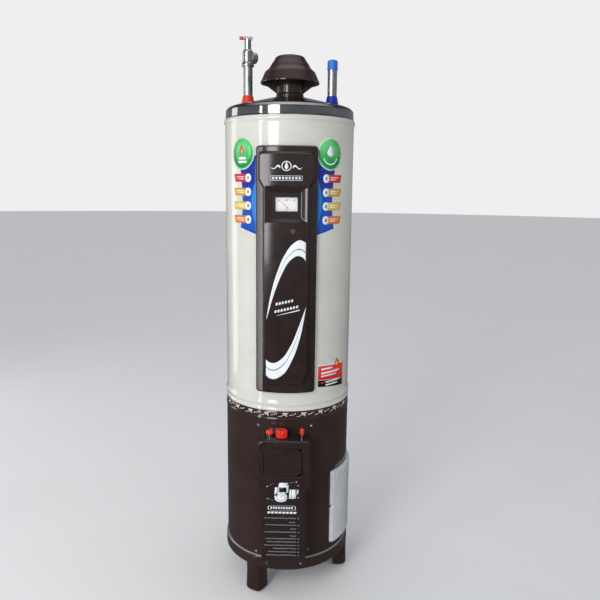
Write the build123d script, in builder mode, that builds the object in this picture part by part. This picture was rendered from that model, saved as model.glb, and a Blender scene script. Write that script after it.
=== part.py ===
from build123d import *
from math import cos, degrees, radians, sin, sqrt
import os

# A free-standing gas storage water heater with a jacketed tank, in millimetres.
# The origin is on the tank's axis at floor level, +Z is up and the control side faces -Y.
# A bearing is an angle from the front (-Y), positive towards +X.

# --- driving dimensions: the body ---
lower_r = 189.5          # outside of the lower casing
casing_step = 2.0        # how much smaller the upper casing's radius is
sheet = 1.5              # casing sheet
leg_height = 88.0        # floor to the underside of the base ring
ring_height = 35.0
ring_proud = 4.5         # base ring outside the lower casing
ring_wall = 2.0
ring_lip = 20.0          # width of the ring's inner ledge
seam_z = 586.0           # joint between the lower and the upper casing
seam_lap = 18.0
casing_top = 1406.0
lid_rise = 60.0          # crown of the lid above its lower edge
bead_rise = 4.2          # rolled beads on the upper casing
bead_half = 9.0
fit_gap = 0.3            # between pieces that move past each other
seat_gap = 0.1           # between pieces that plug together and stay
upper_r = lower_r - casing_step
ring_r = lower_r + ring_proud
ring_top = leg_height + ring_height

# --- driving dimensions: burner and its pipes ---
burner_r = 70.0
burner_above_ring = 117.0
burner_pipe_r = 6.0
service_half = 42.0      # opening behind the cover where the pipes enter
service_x = 18.0
service_drop = 52.0      # its lower edge under the burner
service_rise = 24.0      # its upper edge over the burner
burner_z = ring_top + burner_above_ring
service_low = burner_z - service_drop
service_high = burner_z + service_rise

# --- driving dimensions: tank, flue and chamber ---
jacket_space = 36.0      # between the tank and the casing sheet
tank_wall = 2.5
chamber_height = 160.0   # burner to the rim of the bottom head
shoulder_below_top = 61.0
head_rise = 45.0         # crown of the top head
dish_rise = 28.0         # bottom head, dished upwards
flue_r = 36.0            # outside of the tube through the tank
flue_wall = 2.5
jacket_gap = 0.8         # glass wool to the sheet either side
jacket_below_top = 16.0
tank_r = upper_r - sheet - jacket_space
tank_bottom = burner_z + chamber_height
tank_shoulder = casing_top - shoulder_below_top
jacket_top = casing_top - jacket_below_top

# --- driving dimensions: outlet pipe and cap ---
pipe_r = 38.0            # outlet pipe above the lid
pipe_above_casing = 125.0
brim_r = 85.5
brim_below_pipe = 21.0
cap_height = 80.0
cap_wall = 1.5
gusset_wall = 3.0        # plates that carry the cap
pipe_top = casing_top + pipe_above_casing
brim_z = pipe_top - brim_below_pipe

# --- driving dimensions: water pipes ---
nipple_x = 122.0
nipple_r = 13.5
nipple_bore = 10.0
nipple_socket = 11.2
boot_flare = 7.5         # foot of the boot outside the pipe
boot_rise = 71.0         # heights above the upper casing
hot_rise = 161.0
cold_rise = 167.0
cap_cover = 24.0         # how far the transit cap comes down over the pipe
dip_r = 8.5
dip_clear = 80.0         # end of the dip tube over the tank's bottom rim
anode_r = 10.0
anode_clear = 185.0      # end of the anode over the tank's bottom rim
boot_top = casing_top + boot_rise
hot_top = casing_top + hot_rise
cold_top = casing_top + cold_rise

# --- driving dimensions: relief valve ---
tee_wall = 1.7           # tee outside the pipe
tee_lap = 10.0           # how far the tee is screwed down over the pipe
tee_height = 47.0
port_height = 26.0       # axis of the side port over the tee's foot
port_r = 15.0
port_thread_r = 12.1
port_reach = 26.0
port_turn = 35.0         # turned back, so that the line clears the cap
bonnet_r = 9.75
bonnet_height = 28.0
stem_r = 2.5
lever_pivot_offset = 11.0
lever_half = 3.0         # half the height of the lever's cheeks
lever_reach = 24.0       # tip of the grip, from the valve's axis
tee_r = nipple_r + tee_wall
tee_bottom = hot_top - tee_lap
tee_top = tee_bottom + tee_height
port_z = tee_bottom + port_height

# --- driving dimensions: control panel ---
panel_half = 82.0
panel_arc = 90.0         # half the panel's arc along its face
panel_above_seam = 55.5
panel_below_top = 80.0
panel_depth = 11.5       # base face outside the casing
field_depth = 6.0        # raised field over the base face
panel_wall = 2.5
window_half = 30.0
window_height = 37.0
window_below_panel = 173.0
pocket_half = 54.0
pocket_under = 31.0      # pocket below and above the window
pocket_over = 29.0
pocket_depth = 10.0
needle_x = 3.0
needle_length = 25.0
plug_x = 18.5
plug_drop = 22.0
plug_r = 7.0
panel_bottom = seam_z + panel_above_seam
panel_top = casing_top - panel_below_top
panel_base_r = upper_r + panel_depth
panel_face_r = panel_base_r + field_depth
window_bottom = panel_top - window_below_panel
window_top = window_bottom + window_height
pocket_bottom = window_bottom - pocket_under
pocket_top = window_top + pocket_over
plug_z = pocket_bottom - plug_drop

# --- driving dimensions: thermostat, its cover and its controls ---
cover_depth = 50.5       # cover's face outside the lower casing
cover_half = 75.0
cover_low_half = 64.5
cover_below_seam = 70.0
cover_head = 137.0       # height of its wider upper part
cover_above_ring = 20.0
cover_wall = 2.5
cover_edge = 7.0
opening_edge = 2.0
door_left = -58.0        # dial door opening in the cover
door_right = 52.0
door_drop = 22.0         # opening under the cover's top
door_height = 84.0
body_standoff = 4.5      # gas control block off the casing
body_half = 34.0
shank_rise = 55.0        # heights over the block's foot
inlet_rise = 35.0
shank_r = 10.0
probe_r = 5.0
dial_r = 30.0
dial_x = -3.0
controls_out = 21.5      # line of the three controls outside the casing
gas_knob_x = -8.0
gas_knob_r = 17.5
gas_knob_height = 24.0
pilot_x = -42.0
pilot_r = 10.5
igniter_x = 50.0
igniter_r = 6.0
inlet_thread_r = 9.3
cover_front = lower_r + cover_depth
cover_top = seam_z - cover_below_seam
cover_step = cover_top - cover_head
cover_bottom = ring_top + cover_above_ring
door_high = cover_top - door_drop
door_low = door_high - door_height
body_front = cover_front - 18.0
body_back = lower_r + body_standoff
body_low = door_low + 5.0
body_high = door_high + 4.0
shank_z = body_low + shank_rise
inlet_z = body_low + inlet_rise
controls_y = -(lower_r + controls_out)

# --- driving dimensions: access door ---
door_from = 46.0         # bearings of the door's edges
door_to = 113.0
hatch_above_ring = 22.0
hatch_below_seam = 209.0
hatch_depth = 10.0       # door's face outside the casing
hatch_wall = 2.0
hatch_frame = 14.0       # how much smaller the opening behind the door is
hatch_frame_turn = 6.0   # and the same in degrees
hinge_bearing = 115.6
hinge_out = 7.0
hinge_pin_r = 2.5
hatch_low = ring_top + hatch_above_ring
hatch_high = seam_z - hatch_below_seam
hatch_r = lower_r + hatch_depth
hinge_r = lower_r + hinge_out

# --- driving dimensions: legs, drain and screws ---
leg_bearings = {"front_left": -30.0, "right": 90.0, "rear_left": 210.0}
leg_width = 56.0
leg_depth = 42.0
leg_wall = 2.5
leg_corner = 9.0
drain_above_tank = 40.0
drain_r = 10.6
drain_out = 46.5
screw_head_r = 4.2
screw_r = 1.8
screw_reach = 3.6
drain_z = tank_bottom + drain_above_tank
drain_reach = lower_r + drain_out


def at_bearing(bearing, radius, z=0.0):
    """Return the point at a bearing from the front."""
    return (radius * sin(radians(bearing)), -radius * cos(radians(bearing)), z)


def facing(bearing, radius, z=0.0):
    """Return a plane that looks outwards at a bearing, with its x running level."""
    level = (cos(radians(bearing)), sin(radians(bearing)), 0)
    outwards = (sin(radians(bearing)), -cos(radians(bearing)), 0)
    return Plane(origin=at_bearing(bearing, radius, z), x_dir=level, z_dir=outwards)


def ring_sector(r_in, r_out, bearing_from, bearing_to):
    """Draw the part of a flat ring between two bearings in the open sketch."""
    start = bearing_from - 90
    span = bearing_to - bearing_from
    with BuildLine() as outline:
        outer = CenterArc((0, 0), r_out, start, span)
        inner = CenterArc((0, 0), r_in, start, span)
        Line(outer @ 0, inner @ 0)
        Line(outer @ 1, inner @ 1)
    make_face(outline.edges())


def turned(points, x=0.0, mode=Mode.ADD):
    """Turn a closed outline of (radius, height) points about an upright axis at x."""
    with BuildSketch(Plane.XZ) as outline:
        with BuildLine():
            Polyline(*[(x + r, z) for r, z in points], close=True)
        make_face()
    revolve(outline.sketch, axis=Axis((x, 0, 0), (0, 0, 1)), mode=mode)


def tube_along(points, radius, bend):
    """Sweep a round rod along straight runs joined by arcs of one radius."""
    with BuildLine() as path:
        FilletPolyline(*points, radius=bend)
    with BuildSketch(Plane(origin=path.line @ 0, z_dir=path.line % 0)) as round_section:
        Circle(radius)
    sweep(round_section.sketch, path=path.line)


# screws as (bearing, height): through the lower casing and through the base ring
casing_screw_spots = [(-24, seam_z - 49), (24, seam_z - 49),
                      (21.6, cover_bottom + 4), (-26.6, cover_bottom - 10)]
ring_screw_spots = [(bearing, leg_height + ring_height / 2) for bearing in (-15.4, 15.4, 180)]

# --- base: ring, pan and legs ---
ledge_z = leg_height + ring_wall
with BuildPart() as base_ring:
    turned([
        (ring_r - ring_wall - ring_lip, leg_height),
        (ring_r, leg_height),
        (ring_r, ring_top),
        (lower_r, ring_top),
        (lower_r, ring_top - ring_wall),
        (ring_r - ring_wall, ring_top - ring_wall),
        (ring_r - ring_wall, ledge_z),
        (ring_r - ring_wall - ring_lip, ledge_z),
    ])
    for bearing, z in ring_screw_spots:
        with BuildSketch(facing(bearing, ring_r - ring_wall - 1, z)):
            Circle(screw_r)
        extrude(amount=ring_wall + 2, mode=Mode.SUBTRACT)

pan_holes = 8
with BuildPart() as base_pan:
    with BuildSketch(Plane.XY.offset(ledge_z)):
        Circle(lower_r - sheet - seat_gap)
        Circle(tank_r / 3, mode=Mode.SUBTRACT)
        with PolarLocations(tank_r * 0.65, pan_holes, start_angle=180 / pan_holes):
            Circle(12, mode=Mode.SUBTRACT)
    extrude(amount=sheet)

leg_back = ring_r - ring_wall - leg_depth
leg_face = ring_r + leg_wall
leg_plate_top = ring_top - 4
leg_block = 2 * leg_depth
leg_turn = 10.0
legs = {}
for side, bearing in leg_bearings.items():
    with BuildPart() as leg:
        # pressed box, open towards the axis, under the ring
        with BuildSketch(Plane.XY):
            ring_sector(leg_back, leg_face, -leg_turn, leg_turn)
            with Locations((0, leg_block / 2 - leg_face)):
                RectangleRounded(leg_width, leg_block, leg_corner, mode=Mode.INTERSECT)
        extrude(amount=leg_height)
        chamfer(leg.faces().sort_by(Axis.Z)[0].edges().sort_by(Axis.Y)[0], length=3)
        with BuildSketch(Plane.XY.offset(leg_wall)):
            ring_sector(leg_back - 10, ring_r, -leg_turn, leg_turn)
            with Locations((0, -(leg_back + leg_depth / 2 + 6))):
                Rectangle(leg_width - 2 * leg_wall, leg_depth + 60, mode=Mode.INTERSECT)
        extrude(amount=leg_height, mode=Mode.SUBTRACT)
        # plate that laps the ring from outside
        with BuildSketch(Plane.XY.offset(leg_height)):
            ring_sector(ring_r, ring_r + leg_wall, -leg_width * 0.15, leg_width * 0.15)
        extrude(amount=leg_plate_top - leg_height)
    leg.part.label = "leg_" + side
    legs[side] = Rot(0, 0, bearing) * leg.part

# --- casings ---
with BuildPart() as lower_casing:
    with BuildSketch(Plane.XY.offset(ledge_z)):
        Circle(lower_r)
        Circle(lower_r - sheet, mode=Mode.SUBTRACT)
    extrude(amount=seam_z - ledge_z)
    with BuildSketch(Plane.XY.offset(hatch_low + hatch_frame)):
        ring_sector(lower_r - 20, lower_r + 20, door_from + hatch_frame_turn, door_to - hatch_frame_turn)
    extrude(amount=hatch_high - hatch_low - 2 * hatch_frame, mode=Mode.SUBTRACT)
    with BuildSketch(Plane.XZ.offset(lower_r - 30)):
        with Locations((0, shank_z)):
            Circle(shank_r + 4)
        with Locations((service_x, (service_low + service_high) / 2)):
            RectangleRounded(2 * service_half, service_high - service_low, 6)
    extrude(amount=60, mode=Mode.SUBTRACT)
    with BuildSketch(Plane.XZ.offset(-lower_r - 30)):
        with Locations((0, drain_z)):
            Circle(drain_r + seat_gap)
    extrude(amount=60, mode=Mode.SUBTRACT)
    for bearing, z in casing_screw_spots:
        with BuildSketch(facing(bearing, lower_r - sheet - 1, z)):
            Circle(screw_r)
        extrude(amount=sheet + 2, mode=Mode.SUBTRACT)

with BuildPart() as casing_screws:
    for bearing, z in casing_screw_spots + ring_screw_spots:
        seat = lower_r if (bearing, z) in casing_screw_spots else ring_r
        with BuildSketch(facing(bearing, seat + 0.05, z)):
            Circle(screw_head_r)
        extrude(amount=1.3)
        with BuildSketch(facing(bearing, seat + 1.35, z)):
            Circle(screw_head_r)
        extrude(amount=1.1, taper=45)
        with BuildSketch(facing(bearing, seat - screw_reach, z)):
            Circle(screw_r)
        extrude(amount=screw_reach + 0.5)

with BuildPart() as upper_casing:
    low = seam_z - seam_lap
    inner = upper_r - sheet
    lap_r = lower_r - sheet
    bead_z = seam_z + 21
    top_bead_z = casing_top - 7
    with BuildSketch(Plane.XZ):
        with BuildLine():
            Polyline((upper_r, bead_z - bead_half), (upper_r, seam_z), (lap_r, seam_z), (lap_r, low),
                     (inner, low), (inner, casing_top), (upper_r, casing_top), (upper_r, top_bead_z + 6))
            ThreePointArc((upper_r, top_bead_z + 6), (upper_r + bead_rise, top_bead_z),
                          (upper_r, top_bead_z - 6))
            Line((upper_r, top_bead_z - 6), (upper_r, bead_z + bead_half))
            ThreePointArc((upper_r, bead_z + bead_half), (upper_r + bead_rise, bead_z),
                          (upper_r, bead_z - bead_half))
        make_face()
    revolve(axis=Axis.Z)
    with BuildSketch(Plane.XZ.offset(upper_r - 30)):
        with Locations((0, (window_bottom + window_top) / 2)):
            Circle(3)
    extrude(amount=60, mode=Mode.SUBTRACT)

# --- lid: a shallow dome with a short collar round the pipe ---
lid_r = upper_r - 1.5
collar_r = pipe_r + 2
lid_top = casing_top + lid_rise
collar_top = lid_top + 9
lid_outline = [
    (lid_r, casing_top + 2.5),
    (lid_r - 1, casing_top + 20),
    (lid_r - 7, casing_top + 29),
    (lid_r - 18, casing_top + 36.5),
    (lid_r - 43, casing_top + 42),
    (lid_r - 84, casing_top + 52),
    (collar_r + 20, lid_top + 2),
    (collar_r, collar_top),
]
with BuildPart() as lid_form:
    turned([(0, casing_top)] + lid_outline + [(0, collar_top)])
with BuildPart() as top_lid:
    turned(
        [(lid_r - sheet, casing_top - 14), (upper_r - sheet, casing_top - 14), (upper_r - sheet, casing_top),
         (upper_r, casing_top), (upper_r, casing_top + 1.5)]
        + lid_outline
        + [(pipe_r - 1.3, collar_top), (pipe_r - 1.3, collar_top - 4)]
        + [(r - sheet * 0.8, z - sheet) for r, z in lid_outline[-2:0:-1]] + [(lid_r - sheet, casing_top)]
    )
    with BuildSketch(Plane.XY.offset(casing_top + 20)):
        with Locations((-nipple_x, 0), (nipple_x, 0)):
            Circle(nipple_r + seat_gap)
    extrude(amount=lid_rise, mode=Mode.SUBTRACT)

# --- tank, skirt and flue ---
anode_y = nipple_x * 0.75
tank_top = tank_shoulder + head_rise
tank_in = tank_r - tank_wall


def head_z(radius):
    """Height of the top head's outer face at a radius, a circle through rim and crown."""
    chord = tank_r - flue_r
    curve_r = (chord ** 2 + head_rise ** 2) / (2 * head_rise)
    return tank_top - curve_r + sqrt(curve_r ** 2 - (radius - flue_r) ** 2)


with BuildPart() as inner_tank:
    with BuildSketch(Plane.XZ):
        with BuildLine():
            mid = (tank_r + flue_r) / 2
            ThreePointArc((flue_r, tank_top), (mid, head_z(mid)), (tank_r, tank_shoulder))
            Line((tank_r, tank_shoulder), (tank_r, tank_bottom))
            ThreePointArc((tank_r, tank_bottom), (mid, tank_bottom + dish_rise * 0.7),
                          (flue_r, tank_bottom + dish_rise))
            Line((flue_r, tank_bottom + dish_rise), (flue_r, tank_bottom + dish_rise + tank_wall))
            ThreePointArc((flue_r, tank_bottom + dish_rise + tank_wall),
                          (mid, tank_bottom + dish_rise * 0.7 + tank_wall), (tank_in, tank_bottom + tank_wall))
            Line((tank_in, tank_bottom + tank_wall), (tank_in, tank_shoulder))
            ThreePointArc((tank_in, tank_shoulder), (mid, head_z(mid) - tank_wall),
                          (flue_r, tank_top - tank_wall))
            Line((flue_r, tank_top - tank_wall), (flue_r, tank_top))
        make_face()
    revolve(axis=Axis.Z)
    with BuildSketch(Plane.XY.offset(tank_shoulder - 10)):
        with Locations((-nipple_x, 0), (nipple_x, 0)):
            Circle(nipple_r)
        with Locations((0, anode_y)):
            Circle(anode_r)
    extrude(amount=head_rise + 20, mode=Mode.SUBTRACT)
    with BuildSketch(Plane.XZ.offset(tank_r - 30)):
        with Locations((0, shank_z)):
            Circle(shank_r)
    extrude(amount=60, mode=Mode.SUBTRACT)
    with BuildSketch(Plane.XZ.offset(-tank_r - 30)):
        with Locations((0, drain_z)):
            Circle(drain_r)
    extrude(amount=60, mode=Mode.SUBTRACT)

skirt_bottom = ledge_z + sheet
with BuildPart() as chamber_skirt:
    with BuildSketch(Plane.XY.offset(skirt_bottom)):
        Circle(tank_r)
        Circle(tank_in, mode=Mode.SUBTRACT)
    extrude(amount=tank_bottom - skirt_bottom)
    hatch_turn = hatch_frame_turn + 2
    with BuildSketch(Plane.XY.offset(hatch_low + hatch_frame + 8)):
        ring_sector(tank_r - 20, tank_r + 20, door_from + hatch_turn, door_to - hatch_turn)
    extrude(amount=hatch_high - hatch_low - 2 * hatch_frame - 16, mode=Mode.SUBTRACT)
    with BuildSketch(Plane.XZ.offset(tank_r - 30)):
        with Locations((service_x, (service_low + service_high) / 2)):
            RectangleRounded(2 * service_half, service_high - service_low, 6)
    extrude(amount=60, mode=Mode.SUBTRACT)

with BuildPart() as flue_tube:
    with BuildSketch(Plane.XY.offset(tank_bottom + dish_rise - 6)):
        Circle(flue_r)
        Circle(flue_r - flue_wall, mode=Mode.SUBTRACT)
    extrude(amount=collar_top + 5 - (tank_bottom + dish_rise - 6))

# zigzag strip that slows the hot gas, hung from a cross rod
baffle_steps = 12
baffle_top = collar_top - 25
baffle_pitch = (baffle_top - tank_bottom - 60) / baffle_steps
baffle_reach = flue_r - flue_wall - 9
rod_half = flue_r - flue_wall - 0.2
with BuildPart() as flue_baffle:
    with BuildSketch(Plane.XZ.offset(-16)):
        with BuildLine():
            Polyline(*[(baffle_reach * (-1) ** i, baffle_top - baffle_pitch * i)
                       for i in range(baffle_steps + 1)])
            offset(amount=1.0)
        make_face()
    extrude(amount=32)
    with BuildSketch(Plane.YZ.offset(-rod_half)):
        with Locations((0, baffle_top + 3)):
            Circle(3)
    extrude(amount=2 * rod_half)

with BuildPart() as insulation_jacket:
    with BuildSketch(Plane.XY.offset(skirt_bottom)):
        Circle(upper_r - sheet - jacket_gap)
        Circle(tank_r, mode=Mode.SUBTRACT)
    extrude(amount=jacket_top - skirt_bottom)
    with BuildSketch(Plane.XY.offset(hatch_low + hatch_frame)):
        ring_sector(tank_r - 20, lower_r + 20, door_from + hatch_frame_turn, door_to - hatch_frame_turn)
    extrude(amount=hatch_high - hatch_low - 2 * hatch_frame, mode=Mode.SUBTRACT)
    with BuildSketch(Plane.XZ.offset(tank_r - 30)):
        with Locations((0, shank_z)):
            Circle(shank_r + 2)
        with Locations((service_x, (service_low + service_high) / 2)):
            RectangleRounded(2 * service_half, service_high - service_low, 6)
        with Locations((0, (window_bottom + window_top) / 2 - 30)):
            Rectangle(14, 80)
    extrude(amount=80, mode=Mode.SUBTRACT)
    with BuildSketch(Plane.XZ.offset(-tank_r - 40)):
        with Locations((0, drain_z)):
            Circle(drain_r + 1)
    extrude(amount=60, mode=Mode.SUBTRACT)

# --- outlet pipe, cap and gussets ---
with BuildPart() as flue_pipe:
    turned([
        (flue_r + seat_gap, collar_top), (collar_r, collar_top), (collar_r, collar_top + 3),
        (pipe_r, collar_top + 7), (pipe_r, pipe_top), (flue_r + seat_gap, pipe_top),
    ])

cap_top = brim_z + cap_height
cap_outline = [
    (brim_r, brim_z), (brim_r, brim_z + 2), (brim_r - 13.5, brim_z + 33), (brim_r - 24.5, brim_z + 43),
    (brim_r - 27.5, brim_z + 50), (brim_r - 40, cap_top - 12), (brim_r - 43.5, cap_top - 8),
    (brim_r - 49.5, cap_top - 5.5), (0, cap_top),
]
with BuildPart() as flue_cap:
    turned(cap_outline + [(0, cap_top - 2 * cap_wall)]
           + [(r - cap_wall * 1.1, z - cap_wall * 0.5) for r, z in cap_outline[-2:1:-1]]
           + [(brim_r - cap_wall, brim_z)])

gusset_low = collar_top + 8
with BuildPart() as flue_cap_gussets:
    for side in (-1, 1):
        with BuildSketch(Plane.XZ.offset(-gusset_wall / 2)):
            with BuildLine():
                root, tip = (side * pipe_r, gusset_low), (side * (brim_r - 12), brim_z - 1)
                ThreePointArc(root, (side * (pipe_r + 12.5), (gusset_low + brim_z) / 2 - 4), tip)
                Polyline(tip, (side * (brim_r - 5.4), brim_z + 6), (side * (brim_r - 9.5), brim_z + 15),
                         (side * pipe_r, pipe_top - 4), root)
            make_face()
        extrude(amount=gusset_wall)

# --- water pipes ---
nipple_foot = tank_shoulder - 5
with BuildPart() as hot_nipple:
    turned([(nipple_bore, nipple_foot), (nipple_r, nipple_foot), (nipple_r, hot_top), (nipple_bore, hot_top)],
           x=-nipple_x)
lip = 3.0
socket_z = cold_top - 22
with BuildPart() as cold_nipple:
    turned([
        (nipple_bore, nipple_foot), (nipple_r, nipple_foot), (nipple_r, cold_top), (nipple_socket, cold_top),
        (nipple_socket, socket_z), (nipple_bore, socket_z),
    ], x=nipple_x)
with BuildPart() as dip_tube:
    turned([
        (dip_r - 2, tank_bottom + dip_clear), (dip_r, tank_bottom + dip_clear), (dip_r, socket_z),
        (nipple_socket - seat_gap, socket_z),
        (nipple_socket - seat_gap, socket_z + lip), (dip_r - 2, socket_z + lip),
    ], x=nipple_x)

anode_seat = head_z(anode_y - 2 * anode_r) + 0.2
anode_foot = tank_bottom + anode_clear
with BuildPart() as anode_rod:
    with BuildSketch(Plane.XY.offset(anode_foot)):
        with Locations((0, anode_y)):
            Circle(anode_r - seat_gap)
    extrude(amount=anode_seat - anode_foot)
    with BuildSketch(Plane.XY.offset(anode_seat)):
        with Locations((0, anode_y)):
            RegularPolygon(13.5, 6)
    extrude(amount=12)

boot_r = nipple_r + boot_flare
boot_foot = boot_top - 36
boots = {}
for name, x in (("hot_boot", -nipple_x), ("cold_boot", nipple_x)):
    with BuildPart() as boot:
        turned([
            (nipple_r, boot_foot), (boot_r, boot_foot), (boot_r, boot_foot + 13),
            (boot_r - 5.5, boot_foot + 23),
            (nipple_r + 1.5, boot_top - 1), (nipple_r + 0.6, boot_top), (nipple_r, boot_top),
        ], x=x)
        add(lid_form.part, mode=Mode.SUBTRACT)
    boot.part.label = name
    boots[name] = boot.part

with BuildPart() as cold_cap:
    cap_low = cold_top - cap_cover
    cap_in = nipple_r + 0.08
    turned([
        (cap_in, cap_low), (cap_in + 1.6, cap_low), (cap_in + 1.4, cold_top - 1), (cap_in, cold_top + 2.4),
        (cap_in - 3, cold_top + 4), (0, cold_top + 4.6), (0, cold_top + 0.6), (cap_in, cold_top + 0.6),
    ], x=nipple_x)

# --- relief valve on the hot pipe ---
web_z = tee_top - 12
seat_r = 6.0
chamber_r = 8.5
port_way = Vector(cos(radians(port_turn)), sin(radians(port_turn)), 0)
port_plane = Plane(origin=(-nipple_x, 0, port_z), x_dir=(-port_way.Y, port_way.X, 0), z_dir=port_way)
with BuildPart() as relief_valve_body:
    turned([
        (nipple_r + seat_gap, tee_bottom), (tee_r + 2.5, tee_bottom), (tee_r + 3.1, tee_bottom + 3),
        (tee_r + 2.5, tee_bottom + 8),
        (tee_r, tee_bottom + 11), (tee_r, tee_top - 5), (tee_r - 4, tee_top), (chamber_r, tee_top),
        (chamber_r, web_z + 3), (seat_r, web_z + 3), (seat_r, web_z), (port_thread_r, web_z),
        (port_thread_r, hot_top), (nipple_r + seat_gap, hot_top),
    ], x=-nipple_x)
    with BuildSketch(port_plane.offset(port_thread_r)):
        Circle(port_r)
    extrude(amount=port_reach - port_thread_r)
    with BuildSketch(port_plane.offset(chamber_r + 2)):
        Circle(port_thread_r)
    extrude(amount=port_reach, mode=Mode.SUBTRACT)

bonnet_top = tee_top + bonnet_height
spigot_z = tee_top - 5
pivot_x = -nipple_x + lever_pivot_offset
pivot_z = bonnet_top + lever_half + fit_gap
lug_half = 3.0
cheek_gap = 3.4
cheek_wall = 2.4
with BuildPart() as relief_bonnet:
    turned([
        (chamber_r - 1.6, spigot_z), (chamber_r - seat_gap, spigot_z), (chamber_r - seat_gap, tee_top),
        (bonnet_r, tee_top), (bonnet_r, bonnet_top), (stem_r + 0.06, bonnet_top),
        (stem_r + 0.06, bonnet_top - 4), (chamber_r - 1.6, bonnet_top - 4),
    ], x=-nipple_x)
    with BuildSketch(Plane.XZ.offset(-lug_half)):
        with Locations((pivot_x, pivot_z)):
            Circle(lever_half)
        with Locations((pivot_x - 0.5, bonnet_top - 3)):
            Rectangle(2 * lever_half - 1, pivot_z - bonnet_top + 3, align=(Align.CENTER, Align.MIN))
        with Locations((pivot_x, pivot_z)):
            Circle(1.28, mode=Mode.SUBTRACT)
    extrude(amount=2 * lug_half)

with BuildPart() as relief_stem:
    turned([
        (0, web_z + 3), (chamber_r - 2, web_z + 3), (chamber_r - 2, web_z + 5), (stem_r, web_z + 6),
        (stem_r, bonnet_top + 1.5), (stem_r - 0.6, bonnet_top + 2), (0, bonnet_top + 2),
    ], x=-nipple_x)

spring_low = web_z + 6.2
coil_turns = 7
spring_high = bonnet_top - 4.1
with BuildPart() as relief_spring:
    coil_r = 5.0
    wire_r = 0.8
    coil_height = spring_high - spring_low - 2 * wire_r
    with BuildLine() as coil:
        Helix(coil_height / coil_turns, coil_height, coil_r, center=(-nipple_x, 0, spring_low + wire_r))
    with BuildSketch(Plane(origin=coil.line @ 0, z_dir=coil.line % 0)) as wire:
        Circle(wire_r)
    sweep(wire.sketch, path=coil.line, is_frenet=True)

grip_x = -nipple_x - lever_reach
bridge_x = -nipple_x - bonnet_r - 0.4
bridge = 3.0
with BuildPart() as relief_lever:
    for side in (-1, 1):
        with BuildSketch(Plane.XZ.offset(-side * (cheek_gap + cheek_wall / 2) - cheek_wall / 2)):
            with BuildLine():
                over = Line((pivot_x, pivot_z + lever_half), (bridge_x, pivot_z + lever_half))
                end = Line(over @ 1, (bridge_x, pivot_z - lever_half))
                under = Line(end @ 1, (pivot_x, pivot_z - lever_half))
                ThreePointArc(under @ 1, (pivot_x + lever_half, pivot_z), over @ 0)
            make_face()
            with Locations((pivot_x, pivot_z)):
                Circle(1.2, mode=Mode.SUBTRACT)
        extrude(amount=cheek_wall)
    with BuildSketch(Plane.XY.offset(pivot_z - lever_half)):
        with Locations((bridge_x, 0)):
            Rectangle(bridge, 2 * (cheek_gap + cheek_wall), align=(Align.MAX, Align.CENTER))
    extrude(amount=2 * lever_half)
    with BuildSketch(Plane.XY.offset(pivot_z - 1)):
        with Locations((bridge_x - bridge, 0)):
            Rectangle(bridge_x - bridge - grip_x - 2, 7, align=(Align.MAX, Align.CENTER))
    extrude(amount=2)

with BuildPart() as lever_sleeve:
    with BuildSketch(Plane.XY.offset(pivot_z - 3.6)):
        with Locations(((grip_x + bridge_x - bridge) / 2, 0)):
            RectangleRounded(bridge_x - bridge - grip_x, 12, 3)
    extrude(amount=7.2)
    fillet(lever_sleeve.edges().group_by(Axis.Z)[-1], radius=1.5)
    add(relief_lever.part, mode=Mode.SUBTRACT)

with BuildPart() as lever_pin:
    with BuildSketch(Plane.XZ.offset(-(cheek_gap + cheek_wall + 0.6))):
        with Locations((pivot_x, pivot_z)):
            Circle(1.2)
    extrude(amount=2 * (cheek_gap + cheek_wall + 0.6))

# --- control panel on the upper casing ---
panel_bearing = degrees(panel_arc / panel_base_r)
window_z = (window_bottom + window_top) / 2
pocket_floor = panel_face_r - pocket_depth
panel_back_r = panel_base_r - panel_wall
panel_mid = (panel_bottom + panel_top) / 2
panel_corner = 26.0
field_half = 70.0
field_waist = 58.0
bezel_wall = 1.5


def panel_block(r_in, r_out, inset):
    """Make the panel's rounded outline between two radii, drawn in by an inset."""
    bearing = panel_bearing - inset * 0.35
    with BuildPart() as block:
        with BuildSketch(Plane.XY.offset(panel_bottom + inset)):
            ring_sector(r_in, r_out, -bearing, bearing)
        extrude(amount=panel_top - panel_bottom - 2 * inset)
        with BuildSketch(Plane.XZ):
            with Locations((0, panel_mid)):
                RectangleRounded(2 * (panel_half + 6 - inset), panel_top - panel_bottom - 2 * inset,
                                 panel_corner - inset)
        extrude(amount=panel_face_r + 10, mode=Mode.INTERSECT)
    return block.part


with BuildPart() as raised_field:
    with BuildSketch(Plane.XZ):
        with BuildLine():
            FilletPolyline(
                (-field_half, panel_top - 16), (field_half, panel_top - 16), (field_half, pocket_top + 16),
                (field_waist, pocket_top), (field_waist, panel_bottom + 62),
                (field_waist - 12, panel_bottom + 28),
                (12 - field_waist, panel_bottom + 28), (-field_waist, panel_bottom + 62),
                (-field_waist, pocket_top), (-field_half, pocket_top + 16), close=True, radius=6)
        make_face()
    extrude(amount=panel_face_r + 10)
    with BuildSketch(Plane.XY.offset(panel_bottom)):
        ring_sector(panel_base_r - 1, panel_face_r, -panel_bearing, panel_bearing)
    extrude(amount=panel_top - panel_bottom, mode=Mode.INTERSECT)

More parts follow.
